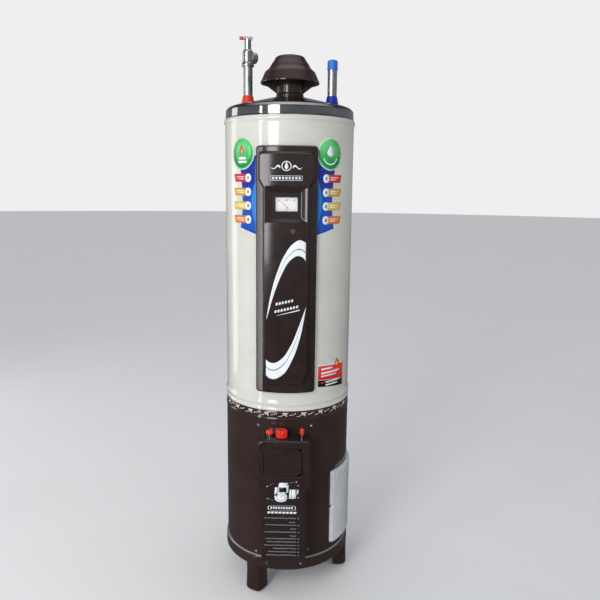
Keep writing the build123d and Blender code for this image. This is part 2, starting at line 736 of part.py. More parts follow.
with BuildPart() as control_panel:
    add(panel_block(upper_r, panel_base_r, 0))
    add(panel_block(upper_r - 5, panel_back_r, panel_wall), mode=Mode.SUBTRACT)
    add(raised_field.part)
    # the pocket's floor stands behind the hollow's skin
    with BuildSketch(Plane.XZ.offset(pocket_floor - panel_wall)):
        with Locations((0, (pocket_bottom + pocket_top) / 2)):
            Rectangle(2 * pocket_half - 4, pocket_top - pocket_bottom + 6)
    extrude(amount=panel_wall + 3)
    with BuildSketch(Plane.XZ.offset(pocket_floor)):
        with Locations((0, (pocket_bottom + pocket_top) / 2)):
            Rectangle(2 * (pocket_half - 8), pocket_top - pocket_bottom - 10)
    with BuildSketch(Plane.XZ.offset(pocket_floor + pocket_depth + 1)):
        with Locations((0, (pocket_bottom + pocket_top) / 2)):
            Rectangle(2 * (pocket_half + 23), pocket_top - pocket_bottom + 1)
    loft(mode=Mode.SUBTRACT)
    with BuildSketch(Plane.XZ.offset(pocket_floor - 12)):
        with Locations((0, window_z)):
            Rectangle(2 * (window_half + bezel_wall + seat_gap), window_height + 2 * (bezel_wall + seat_gap))
    extrude(amount=20, mode=Mode.SUBTRACT)
    with BuildSketch(Plane.XZ.offset(panel_face_r - 1.8)):
        with Locations((plug_x, plug_z)):
            Circle(plug_r + seat_gap)
    extrude(amount=5, mode=Mode.SUBTRACT)
    with BuildSketch(Plane.XZ.offset(panel_back_r - 12)):
        with Locations((plug_x, plug_z)):
            Circle(plug_r - 2 + seat_gap)
    extrude(amount=30, mode=Mode.SUBTRACT)

with BuildPart() as panel_plug:
    with BuildSketch(Plane.XZ.offset(panel_face_r - 1.8)):
        with Locations((plug_x, plug_z)):
            Circle(plug_r)
    extrude(amount=2.6)
    fillet(panel_plug.faces().sort_by(Axis.Y)[0].edges(), radius=1.5)
    with BuildSketch(Plane.XZ.offset(panel_face_r - 14)):
        with Locations((plug_x, plug_z)):
            Circle(plug_r - 2)
    extrude(amount=12.5)

# --- gauge behind the panel's window ---
housing_back = upper_r + 0.8
housing_front = pocket_floor + 1.2
dial_face = housing_back + 2.0
with BuildPart() as gauge_housing:
    with BuildSketch(Plane.XZ.offset(housing_back)):
        with Locations((0, window_z)):
            Rectangle(2 * (window_half + bezel_wall), window_height + 2 * bezel_wall)
    extrude(amount=housing_front - housing_back)
    with BuildSketch(Plane.XZ.offset(pocket_floor)):
        with Locations((0, window_z)):
            RectangleRounded(2 * window_half + 8, window_height + 8, 2)
    extrude(amount=housing_front - pocket_floor)
    with BuildSketch(Plane.XZ.offset(housing_back + 1)):
        with Locations((0, window_z)):
            Rectangle(2 * window_half, window_height)
    extrude(amount=12, mode=Mode.SUBTRACT)

spindle_r = 1.0
pivot_height = window_bottom + 9
with BuildPart() as gauge_dial:
    with BuildSketch(Plane.XZ.offset(housing_back + 1)):
        with Locations((0, window_z)):
            Rectangle(2 * (window_half - seat_gap), window_height - 2 * seat_gap)
        with Locations((needle_x, pivot_height)):
            Circle(spindle_r + 0.06, mode=Mode.SUBTRACT)
    extrude(amount=1)

rest_angle = radians(135)
along = Vector(cos(rest_angle), sin(rest_angle))
across = Vector(-sin(rest_angle), cos(rest_angle))
hub = Vector(needle_x, pivot_height)
with BuildPart() as gauge_needle:
    with BuildSketch(Plane.XZ.offset(dial_face + 1)):
        with BuildLine():
            Polyline(hub + along * needle_length, hub + across * 1.1, hub - along * 5, hub - across * 1.1,
                     close=True)
        make_face()
        with Locations((needle_x, pivot_height)):
            Circle(2.2)
    extrude(amount=0.6)
    with BuildSketch(Plane.XZ.offset(housing_back + 1.1)):
        with Locations((needle_x, pivot_height)):
            Circle(spindle_r)
    extrude(amount=dial_face + 1.2 - housing_back - 1.1)

with BuildPart() as gauge_lens:
    with BuildSketch(Plane.XZ.offset(housing_front - 1.8)):
        with Locations((0, window_z)):
            Rectangle(2 * (window_half - seat_gap / 2), window_height - seat_gap)
    extrude(amount=1.2)

bulb_r = 4.0
with BuildPart() as gauge_bulb:
    with BuildSketch(Plane.XY.offset(window_z - 62)):
        with Locations((0, -(tank_r + bulb_r + 0.05))):
            Circle(bulb_r)
    extrude(amount=64)
    with BuildSketch(Plane.XZ.offset(tank_r + bulb_r)):
        with Locations((0, window_z)):
            Circle(1.2)
    extrude(amount=housing_back - tank_r - bulb_r)

# --- gas control: block, shank, dial and the three controls on top ---
body_left = pilot_x - 8
body_height = body_high - body_low
block_bore = 14.0
with BuildPart() as thermostat_body:
    with BuildSketch(Plane.XZ.offset(body_back)):
        with Locations(((body_left + body_half) / 2, (body_low + body_high) / 2)):
            RectangleRounded(body_half - body_left, body_height, 6)
    extrude(amount=body_front - body_back)
    chamfer(thermostat_body.faces().sort_by(Axis.Y)[0].edges(), length=1.5)
    with BuildSketch(Plane.YZ.offset(-(cover_half - cover_wall - 0.5))):
        with Locations((controls_y, inlet_z)):
            Circle(14)
    extrude(amount=cover_half - cover_wall - 0.5 + body_left + 5)
    with BuildSketch(Plane.YZ.offset(-(cover_half - cover_wall - 0.5))):
        with Locations((controls_y, inlet_z)):
            Circle(inlet_thread_r)
    extrude(amount=20, mode=Mode.SUBTRACT)
    with BuildSketch(Plane.XY.offset(body_high - block_bore)):
        with Locations((gas_knob_x, controls_y)):
            Circle(4.06)
    extrude(amount=block_bore, mode=Mode.SUBTRACT)
    with BuildSketch(Plane.XY.offset(body_high - block_bore - 8)):
        with Locations((pilot_x, controls_y)):
            Circle(3.06)
    extrude(amount=block_bore + 8, mode=Mode.SUBTRACT)
    with BuildSketch(Plane.XZ.offset(body_front - 8)):
        with Locations((dial_x, (door_low + door_high) / 2)):
            Circle(4.06)
    extrude(amount=8, mode=Mode.SUBTRACT)

with BuildPart() as thermostat_shank:
    with BuildSketch(Plane.XZ.offset(tank_r - 8)):
        with Locations((0, shank_z)):
            Circle(shank_r)
    extrude(amount=body_back - tank_r + 8)
    with BuildSketch(Plane.XZ.offset(flue_r + 14)):
        with Locations((0, shank_z)):
            Circle(probe_r)
    extrude(amount=tank_r - flue_r - 20)

dial_z = (door_low + door_high) / 2
dial_thickness = 8.0
with BuildPart() as temperature_dial:
    with BuildSketch(Plane.XZ.offset(body_front + fit_gap)):
        with Locations((dial_x, dial_z)):
            Circle(dial_r)
            with PolarLocations(dial_r + 1.5, 18):
                Circle(3, mode=Mode.SUBTRACT)
    extrude(amount=dial_thickness)
    with BuildSketch(Plane.XZ.offset(body_front + fit_gap + dial_thickness - 3)):
        with Locations((dial_x, dial_z)):
            Circle(dial_r - 6)
            Rectangle(2 * dial_r - 12, 9, mode=Mode.SUBTRACT)
    extrude(amount=4, mode=Mode.SUBTRACT)
    with BuildSketch(Plane.XZ.offset(body_front - 7)):
        with Locations((dial_x, dial_z)):
            Circle(4)
    extrude(amount=8)


def knob_stem(radius, x, low, high):
    """Make a plain round stem on the line of the controls."""
    with BuildPart() as stem:
        with BuildSketch(Plane.XY.offset(low)):
            with Locations((x, controls_y)):
                Circle(radius)
        extrude(amount=high - low)
    return stem.part


def push_head(radius, x, low, high, stem_radius, stem_high, rounding):
    """Make a round button that stands on a stem."""
    with BuildPart() as head:
        with BuildSketch(Plane.XY.offset(low)):
            with Locations((x, controls_y)):
                Circle(radius)
        extrude(amount=high - low)
        fillet(head.edges().filter_by(GeomType.CIRCLE), radius=rounding)
        with BuildSketch(Plane.XY.offset(low - 1)):
            with Locations((x, controls_y)):
                Circle(stem_radius)
        extrude(amount=stem_high - low + 1, mode=Mode.SUBTRACT)
    return head.part


knob_low = cover_top + 1
with BuildPart() as gas_knob:
    with BuildSketch(Plane.XY.offset(knob_low)):
        with Locations((gas_knob_x, controls_y)):
            Circle(gas_knob_r)
            with PolarLocations(gas_knob_r + 3.2, 10):
                Circle(5, mode=Mode.SUBTRACT)
    extrude(amount=gas_knob_height)
    fillet(gas_knob.faces().sort_by(Axis.Z)[-1].edges(), radius=1.5)
    with BuildSketch(Plane.XY.offset(knob_low)):
        with Locations((gas_knob_x, controls_y)):
            Circle(4)
    extrude(amount=gas_knob_height - 8, mode=Mode.SUBTRACT)
gas_spindle = knob_stem(4, gas_knob_x, body_high - block_bore + 1, knob_low + gas_knob_height - 8)
pilot_stem = knob_stem(3, pilot_x, body_high - block_bore, cover_top + 17)
pilot_button = push_head(pilot_r, pilot_x, cover_top + 11, cover_top + 22, 3, cover_top + 17, 3)
igniter_low = cover_top - cover_wall - 46
igniter_stem = knob_stem(3, igniter_x, igniter_low + 12, cover_top + 19)
igniter_button = push_head(igniter_r, igniter_x, cover_top + 10, cover_top + 28, 3, cover_top + 19, 1.5)
with BuildPart() as igniter_body:
    with BuildSketch(Plane.XY.offset(igniter_low)):
        with Locations((igniter_x, controls_y)):
            Circle(9)
    extrude(amount=46)
    with BuildSketch(Plane.XY.offset(igniter_low + 3)):
        with Locations((igniter_x, controls_y)):
            Circle(3.06)
    extrude(amount=46, mode=Mode.SUBTRACT)

# --- thermostat cover and its dial door ---
step_drop = 14.0
cover_corner = 14.0


def cover_outline(inset):
    """Draw the cover's front outline in the open sketch, drawn in by an inset."""
    half, low_half = cover_half - inset, cover_low_half - inset
    with BuildLine() as outline:
        FilletPolyline(
            (-half, cover_step), (-half, cover_top - inset), (half, cover_top - inset), (half, cover_step),
            (low_half, cover_step - step_drop), (low_half, cover_bottom + inset),
            (-low_half, cover_bottom + inset), (-low_half, cover_step - step_drop),
            close=True, radius=cover_corner - inset)
    make_face(outline.edges())


pin_r = 1.2
door_wall = 2.2
door_face = cover_front - 1.5
pin_x = door_right - 3.2
pin_y = -(door_face - 2.9)
knuckle_r = 2.4
knuckle_inset = 12.0
door_gap = 0.6
lug = 3.7
lug_low = door_low + knuckle_inset - fit_gap - lug

casing_height = cover_top - cover_bottom + 40
with BuildPart() as casing_core:
    with BuildSketch(Plane.XY.offset(cover_bottom - 20)):
        Circle(lower_r)
    extrude(amount=casing_height)
with BuildPart() as thermostat_cover:
    with BuildSketch(Plane.XZ.offset(lower_r - 40)):
        cover_outline(0)
    extrude(amount=cover_front - lower_r + 40)
    fillet(thermostat_cover.faces().sort_by(Axis.Y)[0].edges(), radius=cover_edge)
    with BuildSketch(Plane.XZ.offset(lower_r - 40)):
        cover_outline(cover_wall)
    extrude(amount=cover_front - lower_r + 40 - cover_wall, mode=Mode.SUBTRACT)
    add(casing_core.part, mode=Mode.SUBTRACT)
    with BuildSketch(Plane.XZ.offset(cover_front - 10)):
        with Locations(((door_left + door_right) / 2, dial_z)):
            RectangleRounded(door_right - door_left, door_high - door_low, 10)
    extrude(amount=20, mode=Mode.SUBTRACT)
    opening = thermostat_cover.faces().sort_by(Axis.Y)[0].inner_wires()[0]
    fillet(opening.edges(), radius=opening_edge)
    for z in (lug_low, door_low + door_high - lug_low - lug):
        with BuildSketch(Plane.XY.offset(z)):
            with Locations((pin_x - knuckle_r - 0.2, pin_y + knuckle_r + 0.2)):
                Rectangle(10, 5.2, align=(Align.MIN, Align.MAX))
            with Locations((pin_x, pin_y)):
                Circle(pin_r, mode=Mode.SUBTRACT)
        extrude(amount=lug)
    with BuildSketch(Plane.XY.offset(cover_top - 10)):
        with Locations((gas_knob_x, controls_y)):
            Circle(5)
        with Locations((pilot_x, controls_y), (igniter_x, controls_y)):
            Circle(4)
    extrude(amount=20, mode=Mode.SUBTRACT)
    with BuildSketch(Plane.YZ.offset(-cover_half - 5)):
        with Locations((controls_y, inlet_z)):
            Circle(15)
    extrude(amount=12, mode=Mode.SUBTRACT)

with BuildPart() as dial_door:
    with BuildSketch(Plane.XZ.offset(door_face - door_wall)):
        with Locations(((door_left + door_gap + pin_x - 4) / 2, dial_z)):
            RectangleRounded(pin_x - 4 - door_left - door_gap, door_high - door_low - 2 * door_gap, 9)
        with Locations((pin_x, dial_z)):
            Rectangle(20, door_high - door_low - 2 * knuckle_inset, align=(Align.MAX, Align.CENTER))
    extrude(amount=door_wall)
    fillet(dial_door.faces().sort_by(Axis.Y)[0].edges(), radius=0.9)
    with BuildSketch(Plane.XZ.offset(door_face - 1)):
        with Locations((door_left + door_gap, dial_z)):
            Ellipse(13, 26)
    extrude(amount=2, mode=Mode.SUBTRACT)
    with BuildSketch(Plane.XY.offset(door_low + knuckle_inset)):
        with Locations((pin_x, pin_y)):
            Circle(knuckle_r)
    extrude(amount=door_high - door_low - 2 * knuckle_inset)
    with BuildSketch(Plane.XY.offset(door_low)):
        with Locations((pin_x, pin_y)):
            Circle(pin_r + 0.05)
    extrude(amount=door_high - door_low, mode=Mode.SUBTRACT)
with BuildPart() as dial_door_pin:
    with BuildSketch(Plane.XY.offset(lug_low)):
        with Locations((pin_x, pin_y)):
            Circle(pin_r)
    extrude(amount=door_high - door_low - 2 * (lug_low - door_low))

# --- burner, pilot and their pipes ---
pipe_level = burner_z - 35
burner_foot = burner_z - 18
with BuildPart() as burner_pipe:
    tube_along([(0, controls_y, body_low), (0, controls_y, pipe_level), (0, 0, pipe_level),
                (0, 0, burner_foot)], burner_pipe_r, 14)

port_count = 24
with BuildPart() as burner_head:
    turned([(0, burner_foot), (14, burner_foot), (16, burner_foot + 6), (burner_r - 10, burner_z - 5),
            (burner_r, burner_z), (burner_r, burner_z + 10), (burner_r - 6, burner_z + 14),
            (0, burner_z + 16)])
    with BuildSketch(Plane.XY.offset(burner_z + 3)):
        with PolarLocations(burner_r, port_count):
            Rectangle(14, 2.5)
    extrude(amount=20, mode=Mode.SUBTRACT)

pilot_level = burner_z - 5
with BuildPart() as pilot_burner:
    tube_along([(24, controls_y, body_low), (24, controls_y, pilot_level), (24, -burner_r - 10, pilot_level),
                (24, -burner_r - 10, pilot_level + 6)], 2, 4)
    with BuildSketch(Plane.XY.offset(pilot_level + 5)):
        with Locations((24, -burner_r - 10)):
            Circle(4.5)
    extrude(amount=16)

with BuildPart() as thermocouple:
    tube_along([(10, controls_y + 6, body_low), (10, controls_y + 6, pilot_level - 7),
                (10, -burner_r - 15, pilot_level - 7), (10, -burner_r - 15, pilot_level + 8)], 1.5, 6)
    with BuildSketch(Plane.XY.offset(pilot_level + 6)):
        with Locations((10, -burner_r - 15)):
            Circle(3)
    extrude(amount=20)

with BuildPart() as igniter_lead:
    tube_along([(igniter_x, controls_y, igniter_low), (igniter_x, controls_y, pilot_level + 11),
                (igniter_x, -burner_r - 18, pilot_level + 11), (igniter_x - 18, -burner_r - 18, pilot_level + 11)],
               1.5, 6)

# --- access door and its lift-off hinge ---
hatch_in = lower_r + 0.6
barrel_r = 5.0
barrel = 20.0
hinge_levels = (hatch_low + 38, hatch_high - 68)
hinge_x, hinge_y, _ = at_bearing(hinge_bearing, hinge_r)
with BuildPart() as access_door:
    with BuildSketch(Plane.XY.offset(hatch_low)):
        ring_sector(hatch_in, hatch_r, door_from, door_to)
    extrude(amount=hatch_high - hatch_low)
    fillet(access_door.edges().filter_by(
        lambda e: abs(Vector(e.center().X, e.center().Y, 0).length - (hatch_r + hatch_in) / 2) < 1), radius=9)
    fillet(access_door.faces().filter_by(
        lambda f: abs(f.area - radians(door_to - door_from) * hatch_r * (hatch_high - hatch_low)) <
        0.05 * f.area)[0].edges(), radius=6)
    with BuildSketch(Plane.XY.offset(hatch_low + hatch_wall + 1)):
        ring_sector(hatch_in - 5, hatch_r - hatch_wall, door_from + 0.9, door_to - 0.9)
    extrude(amount=hatch_high - hatch_low - 2 * hatch_wall - 2, mode=Mode.SUBTRACT)
    with BuildSketch(facing(door_from, hatch_r - 4, (hatch_low + hatch_high) / 2 + 4)):
        Circle(7)
    extrude(amount=10, mode=Mode.SUBTRACT)
    for z in hinge_levels:
        with BuildSketch(Plane.XY.offset(z + 10)):
            ring_sector(hinge_r - 2.5, hinge_r + 2.5, door_to - 0.7, hinge_bearing)
            with Locations((hinge_x, hinge_y)):
                Circle(barrel_r)
        extrude(amount=barrel)
        with BuildSketch(Plane.XY.offset(z + 9)):
            with Locations((hinge_x, hinge_y)):
                Circle(hinge_pin_r + 0.06)
        extrude(amount=barrel + 2, mode=Mode.SUBTRACT)

with BuildPart() as door_hinge:
    for z in hinge_levels:
        with BuildSketch(Plane.XY.offset(z)):
            ring_sector(lower_r, hinge_r + 1, hinge_bearing, hinge_bearing + 3)
            ring_sector(lower_r, lower_r + 1.5, hinge_bearing - 1, hinge_bearing + 6)
            with Locations((hinge_x, hinge_y)):
                Circle(barrel_r)
        extrude(amount=10 - fit_gap)
        with BuildSketch(Plane.XY.offset(z)):
            with Locations((hinge_x, hinge_y)):
                Circle(hinge_pin_r)
        extrude(amount=10 + barrel - 1)

# --- drain at the back ---
plug_depth = 12.0
plug_start = drain_reach - 30
with BuildPart() as drain_nipple:
    with BuildSketch(Plane.XZ.offset(-(plug_start + plug_depth))):
        with Locations((0, drain_z)):
            Circle(drain_r)
            Circle(drain_r - 3.5, mode=Mode.SUBTRACT)
    extrude(amount=plug_start + plug_depth - tank_r + 5)
with BuildPart() as drain_plug:
    with BuildSketch(Plane.XZ.offset(-drain_reach)):
        with Locations((0, drain_z)):
            RegularPolygon(15, 6)
    extrude(amount=drain_reach - plug_start)
    with BuildSketch(Plane.XZ.offset(-(plug_start + plug_depth))):
        with Locations((0, drain_z)):
            Circle(drain_r + seat_gap)
    extrude(amount=plug_depth + 1, mode=Mode.SUBTRACT)

# --- export ---
pieces = {
    "base_ring": base_ring.part, "base_pan": base_pan.part, "lower_casing": lower_casing.part,
    "upper_casing": upper_casing.part, "casing_screws": casing_screws.part, "top_lid": top_lid.part,
    "inner_tank": inner_tank.part, "chamber_skirt": chamber_skirt.part, "flue_tube": flue_tube.part,
    "flue_baffle": flue_baffle.part, "insulation_jacket": insulation_jacket.part,
    "flue_pipe": flue_pipe.part, "flue_cap": flue_cap.part, "flue_cap_gussets": flue_cap_gussets.part,
    "hot_nipple": hot_nipple.part, "cold_nipple": cold_nipple.part, "dip_tube": dip_tube.part,
    "anode_rod": anode_rod.part, "cold_cap": cold_cap.part,
    "relief_valve_body": relief_valve_body.part, "relief_bonnet": relief_bonnet.part,
    "relief_stem": relief_stem.part, "relief_spring": relief_spring.part,
    "relief_lever": relief_lever.part, "lever_sleeve": lever_sleeve.part, "lever_pin": lever_pin.part,
    "control_panel": control_panel.part, "panel_plug": panel_plug.part,
    "gauge_housing": gauge_housing.part, "gauge_dial": gauge_dial.part, "gauge_needle": gauge_needle.part,
    "gauge_lens": gauge_lens.part, "gauge_bulb": gauge_bulb.part,
    "thermostat_body": thermostat_body.part, "thermostat_shank": thermostat_shank.part,
    "temperature_dial": temperature_dial.part, "gas_knob": gas_knob.part, "gas_spindle": gas_spindle,
    "pilot_button": pilot_button, "pilot_stem": pilot_stem, "igniter_button": igniter_button,
    "igniter_stem": igniter_stem, "igniter_body": igniter_body.part, "igniter_lead": igniter_lead.part,
    "thermostat_cover": thermostat_cover.part, "dial_door": dial_door.part,
    "dial_door_pin": dial_door_pin.part, "burner_head": burner_head.part, "burner_pipe": burner_pipe.part,
    "pilot_burner": pilot_burner.part, "thermocouple": thermocouple.part,
    "access_door": access_door.part, "door_hinge": door_hinge.part,
    "drain_nipple": drain_nipple.part, "drain_plug": drain_plug.part,
}
pieces.update(boots)
pieces.update({"leg_" + side: leg_part for side, leg_part in legs.items()})

os.makedirs("parts", exist_ok=True)
for name, piece in pieces.items():
    piece.label = name
    export_step(piece, "parts/" + name + ".step")
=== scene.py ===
"""Looks of a round gas storage water heater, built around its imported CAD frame."""
import math
import bmesh
import bpy
import numpy as np
from mathutils import Matrix, Vector


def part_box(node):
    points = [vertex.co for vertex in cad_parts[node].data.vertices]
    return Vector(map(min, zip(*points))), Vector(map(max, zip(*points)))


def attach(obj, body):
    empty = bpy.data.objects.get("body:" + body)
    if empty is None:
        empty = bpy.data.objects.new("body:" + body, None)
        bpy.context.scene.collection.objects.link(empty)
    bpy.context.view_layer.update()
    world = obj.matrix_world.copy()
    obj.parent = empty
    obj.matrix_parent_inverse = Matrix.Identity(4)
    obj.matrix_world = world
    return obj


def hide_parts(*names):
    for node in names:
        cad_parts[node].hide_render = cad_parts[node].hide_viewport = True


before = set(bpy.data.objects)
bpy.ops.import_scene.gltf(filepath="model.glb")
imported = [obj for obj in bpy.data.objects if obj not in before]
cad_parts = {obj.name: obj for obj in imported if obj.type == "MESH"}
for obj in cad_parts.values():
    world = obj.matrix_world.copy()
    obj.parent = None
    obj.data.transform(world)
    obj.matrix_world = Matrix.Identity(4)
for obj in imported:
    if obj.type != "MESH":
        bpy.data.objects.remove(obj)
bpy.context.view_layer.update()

# ---------------------------------------------------------------- measures, in millimetres
MM = 0.001


def span(node):
    """Lowest and highest corner of a CAD node in millimetres."""
    low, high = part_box(node)
    return np.array(low) / MM, np.array(high) / MM


LOW_R = span("lower_casing")[1][0]
SEAM_Z = span("lower_casing")[1][2]
SHELL_FOOT = span("lower_casing")[0][2]
BEAD_RISE = 4.2
UP_R = span("upper_casing")[1][0] - BEAD_RISE
CASING_TOP = span("upper_casing")[1][2]
RING_R = -span("base_ring")[0][0]
RING_LOW, RING_TOP = span("base_ring")[0][2], span("base_ring")[1][2]
LID_TOP = span("top_lid")[1][2]
PIPE_X = (span("cold_nipple")[0][0] + span("cold_nipple")[1][0]) / 2
PIPE_R = (span("cold_nipple")[1][0] - span("cold_nipple")[0][0]) / 2
PANEL_LOW, PANEL_TOP = span("control_panel")[0][2], span("control_panel")[1][2]
PANEL_FACE_R = -span("control_panel")[0][1]
COVER_FRONT = -span("thermostat_cover")[0][1]
PORT_Z, PORT_REACH = 1583.0, 26.0       # the valve's side port: its axis, and its end from the valve's axis
PORT_TURN = math.radians(35)            # how far it is turned to the back
PRINT = 0.25            # thickness of a printed film
PANEL_R = 199.0         # radius on which the panel's arcs are measured


# ---------------------------------------------------------------- colours and nodes
def linear(code):
    """Turn an sRGB hex code into linear red, green, blue and an alpha of one."""
    parts = [int(code[i:i + 2], 16) / 255 for i in (1, 3, 5)]
    return [p / 12.92 if p <= 0.04045 else ((p + 0.055) / 1.055) ** 2.4 for p in parts] + [1.0]


def add(tree, kind, settings=None, inputs=None):
    """Add a node, set its properties, and give each named input a value or a link."""
    made = tree.nodes.new("ShaderNode" + kind)
    for key, value in (settings or {}).items():
        setattr(made, key, value)
    for key, value in (inputs or {}).items():
        if isinstance(value, bpy.types.NodeSocket):
            tree.links.new(value, made.inputs[key])
        else:
            made.inputs[key].default_value = value
    return made


def start_material(name):
    """Make an empty node material and return it with its tree and object coordinates."""
    made = bpy.data.materials.new(name)
    made.use_nodes = True
    made.node_tree.nodes.clear()
    coords = add(made.node_tree, "TexCoord").outputs["Object"]
    return made, made.node_tree, coords


def finish_material(made, tree, shader_inputs, height=None, depth=0.0):
    """Close a material with one principled shader, with a bump of a depth in millimetres."""
    if height is not None:
        bump = add(tree, "Bump", None, {"Height": height, "Distance": depth * MM, "Strength": 1.0})
        shader_inputs["Normal"] = bump.outputs["Normal"]
    shader = add(tree, "BsdfPrincipled", None, shader_inputs)
    add(tree, "OutputMaterial", None, {"Surface": shader.outputs["BSDF"]})
    return made


def noise(tree, coords, size, detail=3.0):
    """Noise whose blotches measure about size millimetres."""
    made = add(tree, "TexNoise", None, {"Vector": coords, "Scale": 1000.0 / size, "Detail": detail})
    return made.outputs["Fac"]


def between(tree, amount, low, high):
    """Blend two colours by an amount, low where it is under a third and high where over two."""
    ramp = add(tree, "ValToRGB", None, {"Fac": amount})
    ramp.color_ramp.elements[0].position = 0.33
    ramp.color_ramp.elements[1].position = 0.67
    ramp.color_ramp.elements[0].color = low
    ramp.color_ramp.elements[1].color = high
    return ramp.outputs["Color"]


def ranged(tree, amount, low, high):
    """Stretch an amount from nought to one over a range of values."""
    made = add(tree, "MapRange", None, {"Value": amount, "To Min": low, "To Max": high})
    return made.outputs["Result"]


def baked_enamel(name, colour, shade, gloss, peel=0.03):
    """Sprayed and baked enamel on sheet: a deep even gloss, orange peel, and dull smudges."""
    made, tree, coords = start_material(name)
    smudge = noise(tree, coords, 90.0, 5.0)
    # orange peel is about 1 mm across, drawn at 5 mm so that it shows
    return finish_material(made, tree, {
        "Base Color": between(tree, smudge, linear(shade), linear(colour)),
        "Roughness": ranged(tree, noise(tree, coords, 40.0, 6.0), gloss * 0.75, gloss * 1.35),
        "Coat Weight": 0.35, "Coat Roughness": 0.04,
    }, noise(tree, coords, 5.0, 2.0), peel)


def moulded(name, colour, shade, rough, texture=1.5, depth=0.02, sheen=0.0, coat=0.0):
    """Moulded plastic or rubber: even colour, flow marks, and the mould's fine texture."""
    made, tree, coords = start_material(name)
    flow = noise(tree, coords, 35.0, 4.0)
    return finish_material(made, tree, {
        "Base Color": between(tree, flow, linear(shade), linear(colour)),
        "Roughness": ranged(tree, noise(tree, coords, 18.0, 5.0), rough * 0.8, rough * 1.25),
        "Sheen Weight": sheen, "Coat Weight": coat, "Coat Roughness": 0.08,
    }, noise(tree, coords, texture, 2.0), depth)


def metal(name, colour, shade, rough, grain=3.0, depth=0.01, stretch=(1, 1, 1)):
    """Bare or plated metal: full reflection, with a drawn, spun or cast grain."""
    made, tree, coords = start_material(name)
    pulled = add(tree, "Mapping", None, {"Vector": coords, "Scale": stretch}).outputs["Vector"]
    grains = noise(tree, pulled, grain, 4.0)
    return finish_material(made, tree, {
        "Base Color": between(tree, noise(tree, coords, 30.0, 4.0), linear(shade), linear(colour)),
        "Metallic": 1.0,
        "Roughness": ranged(tree, grains, rough * 0.7, rough * 1.4),
    }, grains, depth)


def galvanised(name, colour, shade, rough):
    """Hot dipped zinc: crystals of slightly different grey and gloss, about 7 mm across."""
    made, tree, coords = start_material(name)
    crystals = add(tree, "TexVoronoi", None, {"Vector": coords, "Scale": 1000.0 / 7.0})
    tone = add(tree, "SeparateColor", None, {"Color": crystals.outputs["Color"]}).outputs["Red"]
    return finish_material(made, tree, {
        "Base Color": between(tree, tone, linear(shade), linear(colour)),
        "Metallic": 1.0,
        "Roughness": ranged(tree, tone, rough * 0.8, rough * 1.25),
    }, noise(tree, coords, 2.0), 0.006)


def printed(name, colour, shade, rough=0.3):
    """Printed vinyl film: flat ink with a faint unevenness and a low gloss."""
    made, tree, coords = start_material(name)
    return finish_material(made, tree, {
        "Base Color": between(tree, noise(tree, coords, 25.0, 3.0), linear(shade), linear(colour)),
        "Roughness": ranged(tree, noise(tree, coords, 9.0, 3.0), rough * 0.8, rough * 1.2),
        "Coat Weight": 0.2, "Coat Roughness": 0.1,
    }, noise(tree, coords, 3.0, 2.0), 0.01)


def graded_print(name, low_colour, high_colour, low_z, high_z):
    """Printed film whose ink runs from one colour to another with height."""
    made, tree, coords = start_material(name)
    height = add(tree, "SeparateXYZ", None, {"Vector": coords}).outputs["Z"]
    share = add(tree, "MapRange", None, {"Value": height, "From Min": low_z * MM, "From Max": high_z * MM})
    return finish_material(made, tree, {
        "Base Color": between(tree, share.outputs["Result"], linear(low_colour), linear(high_colour)),
        "Roughness": ranged(tree, noise(tree, coords, 9.0, 3.0), 0.22, 0.34),
        "Coat Weight": 0.2, "Coat Roughness": 0.1,
    }, noise(tree, coords, 3.0, 2.0), 0.01)


def clear(name):
    """Clear polystyrene window: nearly invisible, with a hard gloss and fine rub marks."""
    made, tree, coords = start_material(name)
    return finish_material(made, tree, {
        "Base Color": linear("#FBFDFF"), "Alpha": 0.12,
        "Roughness": ranged(tree, noise(tree, coords, 12.0, 5.0), 0.02, 0.08),
    })


def wool(name):
    """Glass wool: a matt yellow mat of tangled fibres, drawn 4 mm across so that they show."""
    made, tree, coords = start_material(name)
    fibres = noise(tree, coords, 4.0, 8.0)
    return finish_material(made, tree, {
        "Base Color": between(tree, fibres, linear("#A8923F"), linear("#DCC977")),
        "Roughness": 0.95, "Sheen Weight": 0.3,
    }, fibres, 0.8)


# ---------------------------------------------------------------- the finishes of this heater
# baked enamels: wet dark brown; warm white with a mirror sheen; a softer, slightly metallic
# lacquer; a thin painted line; and the tank's plain primer coat
brown_enamel = baked_enamel("brown_stove_enamel", "#382B29", "#30231F", 0.14)
cream_enamel = baked_enamel("cream_stove_enamel", "#D6D6CE", "#CECEC5", 0.12)
grey_enamel = baked_enamel("silver_grey_lacquer", "#D3D7DB", "#C5C9CC", 0.26, 0.04)
trim_grey = baked_enamel("silver_line_paint", "#8E8C89", "#7A7876", 0.25)
dark_steel = baked_enamel("tank_enamel", "#55606A", "#48525B", 0.35, 0.08)
# metals: spun and nearly a mirror; spangled with soft highlights; smooth bright plating; small
# sharp highlights; grainy and dull; rough and dark; a dull pale bar
lid_steel = metal("polished_stainless_lid", "#B4B6B8", "#A2A4A6", 0.08, 2.0, 0.006, (1, 1, 9))
zinc = galvanised("galvanised_pipe", "#D2D5D7", "#BFC3C6", 0.42)
plated = metal("nickel_plated_brass", "#D4D5D5", "#C4C5C5", 0.28, 3.0, 0.006)
bright_steel = metal("bright_zinc_screw", "#D6D7D8", "#BFC1C3", 0.2, 1.2, 0.01)
alloy = metal("die_cast_alloy", "#A9ABAD", "#8F9193", 0.42, 1.4, 0.05)
iron = metal("sand_cast_iron", "#45423F", "#322F2C", 0.6, 1.8, 0.12)
anode_metal = metal("magnesium_bar", "#B6B8BA", "#9DA0A2", 0.5, 2.5, 0.03)
